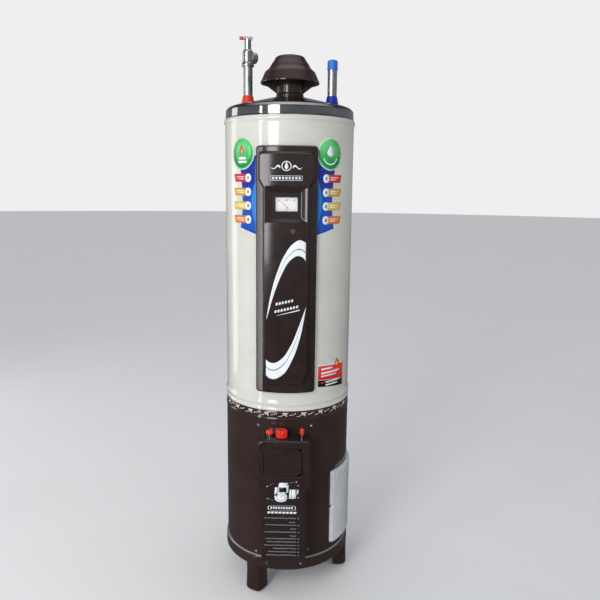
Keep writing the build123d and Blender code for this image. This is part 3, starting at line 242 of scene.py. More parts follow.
# vacuum formed sheet has a thin gloss over soft flow marks; the plug in it is duller
brown_plastic = moulded("brown_gloss_abs", "#2F2422", "#281E1D", 0.16, 4.0, 0.02, coat=0.4)
plug_plastic = moulded("violet_grey_plug", "#4C434A", "#423A40", 0.35, 1.2, 0.02)
# moulded knobs and the cap are bright and waxy, and the soft boots have a little sheen
red_plastic = moulded("red_polypropylene", "#F23A2A", "#DE2C1E", 0.28, 1.2, 0.02)
blue_plastic = moulded("blue_polythene_cap", "#2F7BDD", "#256CCB", 0.35, 1.5, 0.03)
red_rubber = moulded("red_pvc_boot", "#EF3B2B", "#D92E20", 0.3, 1.5, 0.03, 0.1)
blue_rubber = moulded("blue_pvc_boot", "#1636C0", "#0F2AA2", 0.3, 1.5, 0.03, 0.1)
# hard dark phenolic, a matt card, and the pointer's lacquer
black_plastic = moulded("black_phenolic", "#1D1B1B", "#151313", 0.4, 1.2, 0.03)
dial_white = moulded("white_dial_card", "#F4F4F2", "#ECECEA", 0.6, 0.8, 0.01)
pointer_red = moulded("red_pointer_lacquer", "#D92232", "#C81C2B", 0.4, 0.8, 0.01)
# inks on vinyl film, flat or running from one colour to another with height
white_ink = printed("white_ink", "#F2F6FA", "#E6EBF0")
seam_ink = printed("pale_pink_ink", "#DCD0CE", "#CBBEBC")
grey_ink = printed("grey_ink", "#8D9298", "#7E838A")
dark_ink = printed("dark_ink", "#1B1B1F", "#141417")
slate_ink = printed("slate_ink", "#39424C", "#2F3740")
rim_ink = printed("pale_green_ink", "#8FE08A", "#7BD47C")
sky_ink = printed("light_blue_ink", "#1F86E2", "#1A78D2")
red_ink = printed("red_ink", "#EE3423", "#E02A1B")
amber_ink = printed("amber_ink", "#E2B33E", "#D6A534")
yellow_ink = printed("yellow_ink", "#F0CB4E", "#E6BE42")
orange_ink = printed("orange_ink", "#F08A2C", "#E57D22")
green_ink = graded_print("green_badge_ink", "#1FA04C", "#63D07A", 1250, 1360)
blue_ink = graded_print("blue_strip_ink", "#1250B4", "#0C2C94", 1130, 1280)
# the gauge's window, and the jacket behind the access door
lens_clear = clear("clear_styrene")
glass_wool = wool("glass_wool")


# ---------------------------------------------------------------- meshes from arrays
def quads(rows, columns, closed_rows=False, closed_columns=False):
    """Corner numbers of the faces between neighbouring rows and columns of a grid."""
    row = np.arange(rows - (not closed_rows))[:, None]
    column = np.arange(columns - (not closed_columns))[None, :]
    next_row, next_column = (row + 1) % rows, (column + 1) % columns
    corners = [row * columns + column, row * columns + next_column,
               next_row * columns + next_column, next_row * columns + column]
    return np.stack(corners, -1)


def piece(name, parts, body="heater", stands_for=(), solid=False, thickness=0.0):
    """Join grids into one smooth piece in metres that rides on a body.

    Each part is (points in mm as rows x columns x 3, faces, material). A solid piece has its
    faces turned outwards after its doubles are merged. A sheet's faces are turned away from the
    heater's axis, and it can be given a thickness.
    """
    points, corners, indices, finishes, count = [], [], [], [], 0
    for grid, faces, finish in parts:
        if finish not in finishes:
            finishes.append(finish)
        flat_faces = faces.reshape(-1, 4)
        if not solid:
            corner = grid.reshape(-1, 3)[flat_faces]
            facing = np.cross(corner[:, 2] - corner[:, 0], corner[:, 3] - corner[:, 1])
            if (facing[:, :2] * corner.mean(axis=1)[:, :2]).sum() < 0:
                flat_faces = flat_faces[:, ::-1]
        points.append(grid.reshape(-1, 3) * MM)
        corners.append(flat_faces + count)
        indices.append(np.full(len(flat_faces), finishes.index(finish)))
        count += grid.size // 3
    points, corners, indices = np.concatenate(points), np.concatenate(corners), np.concatenate(indices)
    mesh = bpy.data.meshes.new(name)
    mesh.vertices.add(len(points))
    mesh.vertices.foreach_set("co", points.astype(np.float32).ravel())
    mesh.loops.add(corners.size)
    mesh.loops.foreach_set("vertex_index", corners.astype(np.int32).ravel())
    mesh.polygons.add(len(corners))
    mesh.polygons.foreach_set("loop_start", np.arange(0, corners.size, 4, dtype=np.int32))
    mesh.polygons.foreach_set("material_index", indices.astype(np.int32))
    mesh.update(calc_edges=True)
    form = bmesh.new()
    form.from_mesh(mesh)
    bmesh.ops.remove_doubles(form, verts=form.verts, dist=2e-6)
    bmesh.ops.dissolve_degenerate(form, edges=form.edges, dist=1e-7)
    if solid:
        bmesh.ops.recalc_face_normals(form, faces=form.faces)
    form.to_mesh(mesh)
    form.free()
    mesh.polygons.foreach_set("use_smooth", np.ones(len(mesh.polygons), dtype=bool))
    for finish in finishes:
        mesh.materials.append(finish)
    made = bpy.data.objects.new(name, mesh)
    bpy.context.scene.collection.objects.link(made)
    if thickness:
        wall = made.modifiers.new("wall", "SOLIDIFY")
        wall.thickness = thickness * MM
        wall.offset = -1.0
    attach(made, body)
    if stands_for:
        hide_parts(*stands_for)
    return made


def softened(corners, steps=6):
    """Round each corner (across, up, cut) of a closed outline.

    The corner becomes a parabola that starts and ends a cut away from it, with one more point
    0.5 mm beyond each end, so that the flat beside it shades flat.
    """
    given = np.array(corners, float)
    spot, cut = given[:, :2], given[:, 2:3]
    back, on = np.roll(spot, 1, 0) - spot, np.roll(spot, -1, 0) - spot
    back_length, on_length = (np.maximum(np.linalg.norm(v, axis=1, keepdims=True), 1e-9) for v in (back, on))
    share = np.linspace(0, 1, steps)[:, None, None]
    start = spot + back * np.minimum(cut / back_length, 0.42)
    end = spot + on * np.minimum(cut / on_length, 0.42)
    curve = (1 - share) ** 2 * start + 2 * share * (1 - share) * spot + share ** 2 * end
    first = spot + back * np.minimum((cut + 0.5) / back_length, 0.46)
    last = spot + on * np.minimum((cut + 0.5) / on_length, 0.46)
    return np.concatenate([first[None], curve, last[None]]).transpose(1, 0, 2).reshape(-1, 2)


def turned(corners, finish, centre=(0, 0), sides=128, flutes=0, flute_depth=0.0, steps=6):
    """Turn a closed outline about an upright axis: x = r cos t, y = r sin t.

    With flutes, the radius loses flute_depth times a raised cosine of the turning angle.
    """
    outline = softened(corners, steps)
    turn = np.linspace(0, 2 * np.pi, sides, endpoint=False)[None, :]
    radius = outline[:, :1] - flute_depth * (0.5 - 0.5 * np.cos(flutes * turn)) * (outline[:, :1] > 6)
    grid = np.stack([centre[0] + radius * np.cos(turn), centre[1] + radius * np.sin(turn),
                     outline[:, 1:] + 0 * turn], -1)
    return grid, quads(len(outline), sides, True, True), finish


def lying(part, origin, direction):
    """Lay a part turned about the upright axis along a level direction from an origin."""
    grid, faces, finish = part
    along = np.array([math.cos(direction), math.sin(direction), 0.0])
    side = np.array([-math.sin(direction), math.cos(direction), 0.0])
    moved = grid[..., 2:] * along + grid[..., :1] * side + grid[..., 1:2] * np.array([0, 0, 1.0])
    return moved + np.array(origin), faces, finish


def on_cylinder(bearing, radius, height):
    """Points at bearings in degrees from the front, at a radius and a height."""
    angle = np.radians(bearing)
    return np.stack(np.broadcast_arrays(radius * np.sin(angle), -radius * np.cos(angle), height), -1)


def on_face(across, depth, height):
    """Points on an upright plane a depth in front of the axis."""
    return np.stack(np.broadcast_arrays(across, -depth + 0.0 * across, height), -1)


def strip(low_edge, high_edge, place, finish, rows=2):
    """Fill between two edges, each an array of (across, height), and place it on a surface."""
    share = np.linspace(0, 1, rows)[:, None, None]
    flat = low_edge[None] * (1 - share) + high_edge[None] * share
    return place(flat[..., 0], flat[..., 1]), quads(rows, flat.shape[1]), finish


def bar(left, right, low, high, place, finish, lean=0.0, columns=5):
    """A flat bar between two edges, its top pushed across by a lean."""
    across = np.linspace(left, right, columns)
    low_edge = np.stack([across, np.full(columns, low)], -1)
    return strip(low_edge, low_edge + np.array([lean, high - low]), place, finish)


def bars(rows, place, finish, at=(0.0, 0.0)):
    """Bars from rows of (left, right, low, high, lean, columns), shifted to a place."""
    return [bar(at[0] + left, at[0] + right, at[1] + low, at[1] + high, place, finish, lean, columns)
            for left, right, low, high, lean, columns in rows]


def disc(across, height, half_across, half_up, place, finish, hole=0.0, power=2.0, sides=40):
    """An oval, or an oval ring if it has a hole, as scaled circles |x|^p + |y|^p = 1."""
    turn = np.linspace(0, -2 * np.pi, sides, endpoint=False)[None, :]
    size = np.linspace(hole, 1, 3)[:, None]
    bend = 2.0 / power
    x = np.sign(np.cos(turn)) * np.abs(np.cos(turn)) ** bend
    y = np.sign(np.sin(turn)) * np.abs(np.sin(turn)) ** bend
    grid = place(across + half_across * size * x, height + half_up * size * y)
    return grid, quads(3, sides, False, True), finish


def casing_place(radius):
    """Place prints on the casing: across is a bearing in degrees."""
    return lambda across, height: on_cylinder(across, radius, height)


def wrap_place(radius):
    """Place prints on the casing: across is an arc in millimetres."""
    return lambda across, height: on_cylinder(np.degrees(across / radius), radius, height)


def face_place(depth):
    """Place prints on an upright plane: across is x in millimetres."""
    return lambda across, height: on_face(across, depth, height)


# ---------------------------------------------------------------- base: ring, silver line, legs
def make_base():
    """Ring pressed from sheet with a rolled shoulder, and the pale line along it."""
    ledge = 20.0
    ring = turned([(RING_R - 2 - ledge, RING_LOW, 0.6), (RING_R, RING_LOW, 4), (RING_R, RING_TOP - 2, 5),
                   (LOW_R - 0.4, RING_TOP + 1, 1), (LOW_R - 0.4, RING_TOP - 4, 0.6),
                   (RING_R - 2, RING_TOP - 6, 2), (RING_R - 2, RING_LOW + 2, 1),
                   (RING_R - 2 - ledge, RING_LOW + 2, 0.6)],
                  brown_enamel, sides=192)
    piece("ring_shell", [ring], stands_for=["base_ring"], solid=True)
    line = turned([(LOW_R + 0.2, RING_TOP - 0.6, 0.4), (RING_R - 1.2, RING_TOP - 2.2, 0.8),
                   (RING_R - 0.6, RING_TOP - 0.2, 0.8), (LOW_R + 0.2, RING_TOP + 2.6, 0.8)],
                  trim_grey, sides=192, steps=4)
    piece("ring_line", [line], solid=True)


def make_leg(node, bearing):
    """Pressed leg: a C section of rounded corners carried up from a dished sole.

    Across the leg the section is |x|^5 + |y|^5 = 1 over its front half. Each level gives a
    height, a share of the section and a lean: the rows spread from the middle of the sole,
    round its edge, rise, and lean onto the ring.
    """
    half, outer, depth = 28.0, RING_R + 2.5, 42.0
    turn = np.linspace(-np.pi, 0, 49)
    power = 2.0 / 5.0
    x = half * np.sign(np.cos(turn)) * np.abs(np.cos(turn)) ** power
    y = depth * np.sign(np.sin(turn)) * np.abs(np.sin(turn)) ** power
    back = -(outer - depth)
    levels = [(0.0, 0.02, 0), (0.0, 0.45, 0), (0.0, 0.76, 0), (0.7, 0.86, 0), (2.6, 0.93, 0),
              (5.5, 0.975, 0), (9.0, 1.0, 0), (10.0, 1.0, 0), (40.0, 0.955, 0.6), (62.0, 0.93, 1.0),
              (84.0, 0.96, 0.6), (93.0, 0.95, 0.2), (102.0, 0.9, 0.1), (112.0, 0.78, 0.3),
              (117.0, 0.66, 1.0), (118.6, 0.58, 1.8), (119.0, 0.5, 2.8)]
    rows = []
    for level, spread, lean in levels:
        sag = outer - np.sqrt(outer ** 2 - (x * spread) ** 2)
        rows.append(np.stack([x * spread, back + y * (spread if level < 9 else 1.0) + lean + sag,
                              np.full_like(x, level)], -1))
    grid = np.array(rows)
    angle = math.radians(bearing)
    spin = np.array(Matrix.Rotation(angle, 3, "Z"))
    piece(node + "_shell", [(grid @ spin.T, quads(len(levels), len(turn)), brown_enamel)],
          stands_for=[node], thickness=1.6)


# ---------------------------------------------------------------- casings and lid
def make_casings():
    """Lower and upper sheets: radius as a function of height, round the whole circle.

    A swage is a raised cosine bump on the radius. The lower sheet leaves out the faces of the
    opening behind the access door.
    """
    hatch_low, hatch_high = span("access_door")[0][2] + 14, span("access_door")[1][2] - 14
    hatch_from, hatch_to = 52.0, 107.0
    hatch_columns = 32
    bearings = np.concatenate([np.linspace(hatch_from, hatch_to, hatch_columns + 1),
                               np.linspace(hatch_to, hatch_from + 360, 161)[1:-1]])
    swage = SEAM_Z - 25
    heights = np.unique(np.concatenate([
        np.linspace(SHELL_FOOT, hatch_low, 4), [hatch_low, hatch_high], np.linspace(hatch_high, swage - 8, 6),
        np.linspace(swage - 5, swage + 5, 13), [SEAM_Z - 12, SEAM_Z - 0.8, SEAM_Z]]))
    bump = 1.3 * (0.5 + 0.5 * np.cos(np.clip((heights - swage) / 5, -1, 1) * np.pi))
    radius = LOW_R + bump - 0.6 * (heights > SEAM_Z - 0.4)
    grid = on_cylinder(bearings[None, :], radius[:, None], heights[:, None])
    faces = quads(len(heights), len(bearings), False, True)
    row = (heights[:-1] >= hatch_low - 0.1) & (heights[1:] <= hatch_high + 0.1)
    column = np.arange(len(bearings)) < hatch_columns
    faces = faces[~(row[:, None] & column[None, :])]
    piece("lower_shell", [(grid, faces, brown_enamel)], stands_for=["lower_casing"],
          thickness=1.4)

    low_bead, top_bead = SEAM_Z + 21, CASING_TOP - 7
    profile = [(UP_R - 1.5, SEAM_Z - 16, 0.4), (UP_R, SEAM_Z - 16, 0.4), (UP_R, SEAM_Z, 0.1),
               (LOW_R - 0.1, SEAM_Z, 0.8), (LOW_R + 0.4, SEAM_Z + 4, 1.5), (UP_R + 0.3, low_bead - 10, 4),
               (UP_R + BEAD_RISE, low_bead, 7), (UP_R, low_bead + 10, 5), (UP_R, top_bead - 9, 4),
               (UP_R + BEAD_RISE, top_bead - 1.5, 6), (UP_R + 1, CASING_TOP, 2.5),
               (UP_R - 1.5, CASING_TOP, 0.4)]
    piece("upper_shell", [turned(profile, cream_enamel, sides=192)],
          stands_for=["upper_casing"], solid=True)


def make_lid():
    """Spun lid: upright band, rounded shoulder, shallow dome, and the collar at the pipe."""
    rim, collar = UP_R - 0.4, 40.0
    sheet = 1.2
    outer = [(rim + 0.4, CASING_TOP + 0.4, 0.6), (rim - 0.8, CASING_TOP + 3, 1.5),
             (rim - 2, CASING_TOP + 25, 2.2), (rim - 8.5, CASING_TOP + 32.5, 5),
             (rim - 19, CASING_TOP + 36.5, 6), (rim - 44, CASING_TOP + 42, 14),
             (rim - 85, CASING_TOP + 52, 16), (collar + 16, LID_TOP - 6, 10),
             (collar, LID_TOP - 0.6, 3), (collar - 2.6, LID_TOP - 0.3, 0.8)]
    inner = [(r - sheet * 0.7, z - sheet, cut) for r, z, cut in reversed(outer)]
    piece("lid_shell", [turned(outer + inner, lid_steel, sides=192, steps=9)],
          stands_for=["top_lid"], solid=True)


# ---------------------------------------------------------------- flue pipe and cap
def make_flue():
    """Outlet pipe with a rolled foot, and the spun cap over it."""
    pipe_r = 38.0
    foot, top = span("flue_pipe")[0][2], span("flue_pipe")[1][2]
    pipe = turned([(36.2, foot + 0.3, 0.3), (pipe_r + 2.2, foot + 0.3, 1.2), (pipe_r + 2.2, foot + 3, 1.2),
                   (pipe_r, foot + 8, 2.5), (pipe_r, top, 0.8), (36.2, top, 0.5)], brown_enamel, sides=96)
    piece("pipe_shell", [pipe], stands_for=["flue_pipe"], solid=True)
    brim_low, crown = span("flue_cap")[0][2], span("flue_cap")[1][2]
    brim = span("flue_cap")[1][0]
    outer = [(brim - 0.4, brim_low + 0.3, 0.8), (brim, brim_low + 3.5, 2), (brim - 13, brim_low + 32, 3),
             (brim - 25, brim_low + 42, 3.5), (brim - 29, brim_low + 50, 4), (brim - 39, crown - 16, 6),
             (brim - 45, crown - 5.5, 6), (brim - 62, crown - 1.6, 8), (0, crown - 0.2, 0)]
    inner = [(max(r - 1.7, 0), z - 1.4, cut) for r, z, cut in reversed(outer[1:])]
    piece("cap_shell", [turned(outer + inner, brown_enamel, sides=144, steps=7)],
          stands_for=["flue_cap"], solid=True)


# ---------------------------------------------------------------- water pipes and their fittings
def make_pipes():
    """Galvanised pipes with a chamfered end, flared boots on the lid, and the transit cap."""
    bore = PIPE_R - 3.5
    for node, side in (("hot_nipple", -1), ("cold_nipple", 1)):
        low, high = span(node)
        tube = turned([(bore, low[2], 0.3), (PIPE_R, low[2], 0.3), (PIPE_R, high[2], 0.9),
                       (bore, high[2], 0.4)], zinc, (side * PIPE_X, 0), 64)
        piece(node + "_tube", [tube], stands_for=[node], solid=True)
    for node, side, finish in (("hot_boot", -1, red_rubber), ("cold_boot", 1, blue_rubber)):
        low, high = span(node)
        top = high[2]
        foot = (high[0] - low[0]) / 2
        flare = turned([(PIPE_R - 0.3, top - 32, 0.3), (foot - 0.6, top - 32, 0.5), (foot, top - 24, 1.5),
                        (PIPE_R + 3.6, top - 13, 6), (PIPE_R + 1.8, top - 2.5, 4), (PIPE_R + 0.9, top, 0.8),
                        (PIPE_R - 0.3, top, 0.3)], finish, (side * PIPE_X, 0), 64)
        piece(node + "_flare", [flare],
              stands_for=[node], solid=True)
    low, high = span("cold_cap")
    outer = (high[0] - low[0]) / 2
    cap = turned([(PIPE_R + 0.1, low[2], 0.3), (outer, low[2], 0.5), (outer, low[2] + 4, 0.5),
                  (outer - 0.35, low[2] + 5, 0.6), (outer - 0.5, high[2] - 3, 3.5),
                  (outer - 6, high[2], 3), (0, high[2], 0), (0, high[2] - 3, 0),
                  (PIPE_R + 0.1, high[2] - 3, 0.5)], blue_plastic, (PIPE_X, 0), 96, 24, 0.3)
    piece("cold_cap_shell", [cap], "cold_cap", ["cold_cap"], True)


def make_valve():
    """Plated valve body: a turned tee with a rounded nut at its foot, and the side port."""
    low, high = span("relief_valve_body")
    x, foot, top = -PIPE_X, low[2], high[2]
    body_r, nut_r, bore, spring_r, seat_r = 15.2, 17.6, 12.0, 8.6, PIPE_R + 0.1
    body = turned([(seat_r, foot, 0.3), (nut_r, foot, 1.2), (nut_r + 0.6, foot + 4, 1.5), (nut_r, foot + 8,
                                                                                           1.5),
                   (body_r, foot + 11.5, 2), (body_r, top - 6, 2.5), (body_r - 4.4, top, 2.5),
                   (spring_r, top, 0.5), (spring_r, top - 8, 0.3), (bore, top - 14, 0.3),
                   (bore, foot + 8, 0.3), (seat_r, foot + 6, 0.3)], plated, (x, 0), 72)
    port_bore, port_r, bead_r = 12.1, 15.0, 15.6
    port = lying(turned([(port_bore, 11, 0.3), (port_r, 11, 0.3), (port_r, PORT_REACH - 9, 0.8),
                         (bead_r, PORT_REACH - 7, 1), (bead_r, PORT_REACH, 1.4), (port_bore, PORT_REACH,
                                                                                  0.8)],
                        plated, (0, 0), 56), (x, 0, PORT_Z), PORT_TURN)
    piece("valve_body", [body, port], stands_for=["relief_valve_body"], solid=True)


# ---------------------------------------------------------------- moulded fronts as height fields
def rounded_box(u, v, half_u, half_v, corner):
    """Distance to a rounded rectangle, negative inside."""
    a, b = np.abs(u) - half_u + corner, np.abs(v) - half_v + corner
    return np.hypot(np.maximum(a, 0), np.maximum(b, 0)) + np.minimum(np.maximum(a, b), 0) - corner


def pillow(inside, height, edge, sunk):
    """Height at a distance inside an outline: a steep wall, then a quarter of an ellipse."""
    rise = np.clip(inside / edge, 0, 1)
    crown = height * (0.35 + 0.65 * np.sqrt(1 - (1 - rise) ** 2))
    return np.where(inside > 0, crown, np.maximum(0.35 * height + inside * 5, -sunk))


def outside(inside, depth):
    """Faces of a grid whose four corners all lie further than a depth outside an outline."""
    far = inside < -depth
    return far[:-1, :-1] & far[1:, 1:] & far[:-1, 1:] & far[1:, :-1]


def lines(*runs):
    """Grid lines: each run is (from, to, about how far apart)."""
    spots = [np.linspace(a, b, max(2, int(round((b - a) / gap)) + 1)) for a, b, gap in runs]
    return np.unique(np.round(np.concatenate(spots), 4))


def field_radius(u):
    """Radius of the panel's raised field at an arc u: its front, flatter than the casing."""
    x = PANEL_R * np.sin(u / PANEL_R)
    return (PANEL_FACE_R - x ** 2 / 700.0) / np.cos(u / PANEL_R)


def field_place(lift):
    """Place prints on the panel's raised field: across is an arc in millimetres."""
    return lambda across, height: on_cylinder(
        np.degrees(across / PANEL_R), field_radius(across) + lift, height)


def make_panel():
    """Vacuum formed panel as a height over the casing, h(arc, height).

    A pillow over the rounded outline, whose plate is flat either side of the field, plus a raised
    field whose half width narrows below the title, less a pocket with sloping walls down to the
    flat floor round the window.
    """
    half, centre = 88.5, (PANEL_LOW + PANEL_TOP) / 2
    base_rise = 11.5
    window_low, window_high = 1151.4, 1191.6
    pocket_floor, pocket_middle = 195.0, 1170.0
    side = lines((32, 36, 1.4), (36, 94, 1.25))
    across = np.unique(np.concatenate([-side, [-20, -10, 0, 10, 20], side]))
    height = lines((PANEL_LOW - 3, 722, 1.4), (722, 1112, 15), (1112, window_low, 1.5),
                   (window_low, window_high, 5), (window_high, 1250, 1.5), (1250, 1284, 6),
                   (1284, PANEL_TOP + 3, 1.3))
    u, z = np.meshgrid(across, height)
    outer = -rounded_box(u, z - centre, half, (PANEL_TOP - PANEL_LOW) / 2, 10)
    widest = 77.0
    field_half = widest - 12.5 * np.clip((1237 - z) / 20, 0, 1) - 12 * np.clip((712 - z) / 36, 0, 1)
    low_end, top_end = PANEL_LOW + 24, PANEL_TOP - 15
    field = -rounded_box(u * widest / field_half, z - (low_end + top_end) / 2,
                         widest, (top_end - low_end) / 2, 14)
    pocket = -rounded_box(u, z - pocket_middle, 56, 49.5, 4)
    flat_at, flat_turn = 198.4, math.radians(23.5)      # the plate's flats: distance and bearing
    plate = np.minimum(flat_at / np.cos(np.abs(u) / PANEL_R - flat_turn), UP_R + base_rise)
    base = UP_R + pillow(outer, plate - UP_R, 4, 3)
    ramp = np.clip(field / 8, 0, 1)
    ramp = ramp - np.sin(2 * np.pi * ramp) / (2 * np.pi) * 0.5
    skin = base + (field_radius(u) - plate) * ramp * (outer > 0)
    floor = pocket_floor / np.cos(u / PANEL_R)
    slope = np.clip(pocket / 16, 0, 1)
    slope = slope - np.sin(2 * np.pi * slope) / (2 * np.pi) * 0.15
    radius = skin * (1 - slope) + floor * slope
    grid = on_cylinder(np.degrees(u / PANEL_R), radius, z)
    faces = quads(len(height), len(across))
    mid_u, mid_z = (across[:-1] + across[1:]) / 2, (height[:-1] + height[1:]) / 2
    window = (np.abs(mid_u) < 32)[None, :] & ((mid_z > window_low) & (mid_z < window_high))[:, None]
    piece("panel_skin", [(grid, faces[~(window | outside(outer, 2))], brown_plastic)],
          stands_for=["control_panel"], thickness=1.4)


def make_access_door():
    """Pressed door: a pillow over a rounded outline on the casing, notched for a finger.

    Its barrels and straps stand a knuckle high at two places along the hinge.
    """
    low, high = span("access_door")
    door_from, door_to, door_r = 46.0, 113.0, 200.0
    centre, half = (door_from + door_to) / 2, math.radians(door_to - door_from) / 2 * door_r
    edge_lines = lines((half - 26, half + 3, 1.3))
    across = np.concatenate([-edge_lines[::-1], np.linspace(-half + 28, half - 28, 19), edge_lines])
    reach = (high[2] - low[2]) / 2
    end_lines = lines((reach - 24, reach + 3, 1.3))
    notch_lines = np.linspace(-18, 24, 33)
    up = np.unique(np.concatenate([-end_lines, np.linspace(-reach + 26, -20, 8), notch_lines,
                                   np.linspace(26, reach - 26, 8), end_lines]))
    u, v = np.meshgrid(across, up)
    inside = -rounded_box(u, v, half, reach, 10)
    inside = np.minimum(inside, np.hypot(u + half, v - 4) - 7)
    rise = 9.4
    raised = rise * (0.35 + 0.65 * np.sqrt(1 - (1 - np.clip(inside / 5, 0, 1)) ** 2))
    raised = np.where(inside > 0, raised, np.maximum(0.35 * rise + inside * 4, 0.5))
    grid = on_cylinder(centre + np.degrees(u / door_r), LOW_R + raised, (low[2] + high[2]) / 2 + v)
    faces = quads(len(up), len(across))
    piece("access_door_skin", [(grid, faces[~outside(inside, 1.5)], grey_enamel)], "access_door",
          thickness=1.2)
    hinge_r, bearing = 196.5, math.radians(115.6)
    x, y = hinge_r * math.sin(bearing), -hinge_r * math.cos(bearing)
    barrels, straps, knuckle = [], [], 20.0
    for z in (low[2] + 48, high[2] - 58):
        barrels.append(turned([(2.6, z, 0.3), (5, z, 0.8), (5, z + knuckle, 0.8), (2.6, z + knuckle, 0.3)],
                              grey_enamel, (x, y), 32))
        rows = np.array([z, z + knuckle])[:, None]
        straps.append((on_cylinder(np.linspace(111.5, 115.0, 6)[None, :], 198.6, rows), quads(2, 6),
                       grey_enamel))
    piece("access_door_barrels", barrels, "access_door", ["access_door"], True)
    piece("access_door_straps", straps, "access_door", thickness=3.0)


# ---------------------------------------------------------------- controls
def make_controls():
    """Fluted gas knob, round pilot button and igniter pin, turned with softened edges."""
    low, high = span("gas_knob")
    x, y, base, top = (low[0] + high[0]) / 2, (low[1] + high[1]) / 2, low[2], high[2]
    outer = (high[0] - low[0]) / 2
    knob = turned([(4.2, base, 0.2), (outer - 1, base, 1.2), (outer, base + 4, 1.5), (outer - 0.8, top - 3,
                                                                                      3),
                   (outer - 6, top, 3), (0, top - 0.8, 0), (0, top - 8, 0), (4.2, top - 8, 0.2)],
                  red_plastic, (x, y), 120, 10, 2.6)
    piece("gas_knob_cap", [knob], "gas_knob", ["gas_knob"], True)
    for node in ("pilot_button", "igniter_button"):
        low, high = span(node)
        x, base, top = (low[0] + high[0]) / 2, low[2], high[2]
        outer = (high[0] - low[0]) / 2
        head = turned([(3.05, base, 0.2), (outer - 0.6, base, 1.0), (outer, base + 2, 1.2),
                       (outer, top - 2.5, 2.2), (outer - 2.4, top, 1.6), (0, top - 0.3, 0),
                       (0, top - 3, 0), (3.05, top - 3, 0.2)], red_plastic, (x, y), 56)
        piece(node + "_head", [head], node, [node], True)


# ---------------------------------------------------------------- prints on the casing
def teardrop(across, low, high, half, place, finish, twist=0.0):
    """A flame or drop: half width half * sin(pi s)^0.8 * (1.25 - s) going up, leaning by a twist."""
    share = np.linspace(0, 1, 15)
    width = half * np.sin(np.pi * share) ** 0.8 * (1.25 - share) * 1.3
    middle = across + twist * np.sin(np.pi * share * 1.5)
    height = low + (high - low) * share
    left = np.stack([middle - width, height], -1)
    right = np.stack([middle + width, height], -1)
    sides = np.stack([left, (left + right) / 2, right], 1)
    return place(sides[..., 0], sides[..., 1]), quads(15, 3), finish


def make_tabs(side, over, top, raised):
    """Four coloured tabs across the strip's outer edge, each with an oval at its root and two dashes."""
    tip, root, tall, tilt = 52.6, 34.2, 21.0, 1.9
    parts = []
    for i, ink in enumerate((red_ink, amber_ink, yellow_ink, orange_ink)):
        low = 1230.5 - 37.6 * i
        across = np.linspace(*sorted((side * tip, side * root)), 9)[None, :]
        lean = np.array([-1.0, 0.0])[:, None] * side * tilt * (np.abs(across) - root) / (tip - root)
        parts.append((over(across + lean, low + np.array([0.0, tall])[:, None]), quads(2, 9), ink))
        for row, long in ((12.5, 9.18), (6.5, 6.12)):
            left, right = sorted((side * 39.4, side * (39.4 + long)))
            parts.append(bar(left, right, low + row, low + row + 2.4, top, white_ink, 0, 4))
        parts.append(disc(side * 34.6, low + tall / 2, 3.1, 11.5, top, white_ink, power=2.3))
        parts.append(disc(side * 34.6, low + tall / 2, 1.2, 5.0, raised, grey_ink, power=1.2 + 0.6 * i))
    return parts


def make_side_prints():
    """Film on both sides of the panel: a graded strip with a light swelling, a badge, and tabs.

    The strip's outer edge is a bearing that bulges inwards by a sine and draws in at its top,
    and its foot slants down towards the panel.
    """
    base, over, top, raised, rim, face, mark, core = (
        casing_place(UP_R + lift) for lift in (0.35, 0.6, 0.8, 1.0, 0.95, 1.1, 1.25, 1.4))
    foot, head, edge, badge_z = 1088.0, 1300.0, 25.9, 1306.0
    height = np.linspace(foot, head, 28)
    share = (height - foot) / (head - foot)
    bulge = 2.6 * np.sin(np.pi * np.clip(share / 0.84, 0, 1)) + 13 * np.clip((share - 0.84) / 0.16, 0, 1)
    swell = np.linspace(1110, 1240, 16)
    wave = 4.6 * np.sin(np.pi * (swell - 1110) / 130)
    for name, side, centre in (("left", -1, -41.2), ("right", 1, 38.6)):
        spread = np.linspace(0, 1, 12)[None, ::-side]
        bearing = edge + (43.8 - bulge - edge)[:, None] * spread
        slant = spread * 17 * np.clip(1 - share * 3, 0, 1)[:, None]
        sweep = np.linspace(0, 1, 4)[None, ::-side]
        parts = [(base(side * bearing, height[:, None] + slant), quads(28, 12), blue_ink),
                 (over(side * (26.4 + wave[:, None] * sweep), swell[:, None] + 0 * sweep), quads(16, 4),
                  sky_ink)]
        parts += make_tabs(side, over, top, raised)
        parts += [disc(centre, badge_z, 13.0, 43.5, top, white_ink), disc(centre, badge_z, 12.2, 41.2, rim,
                                                                          rim_ink),
                  disc(centre, badge_z, 11.3, 38.5, face, green_ink)]
        if side < 0:
            parts += [teardrop(centre - 0.8, 1303, 1332, 2.1, mark, red_ink, 0.3),
                      teardrop(centre - 0.8, 1306, 1320, 0.9, core, rim_ink, 0.2)]
            parts += bars(((-4.8, 4.4, 1290, 1297, 0, 5), (-5.2, 5.0, 1281, 1287, 0, 5)), mark, white_ink,
                          (centre, 0))
        else:
            parts.append(teardrop(centre, 1299, 1330, 3.4, mark, white_ink))
            turn = np.linspace(-2.75, -0.4, 25)
            smile = np.stack([np.cos(turn), np.sin(turn)], -1)
            parts.append(strip(smile * (8.2, 29) + (centre, badge_z), smile * (7.2, 25) + (centre, badge_z),
                               mark, white_ink))
        piece("side_print_" + name, parts, thickness=PRINT)


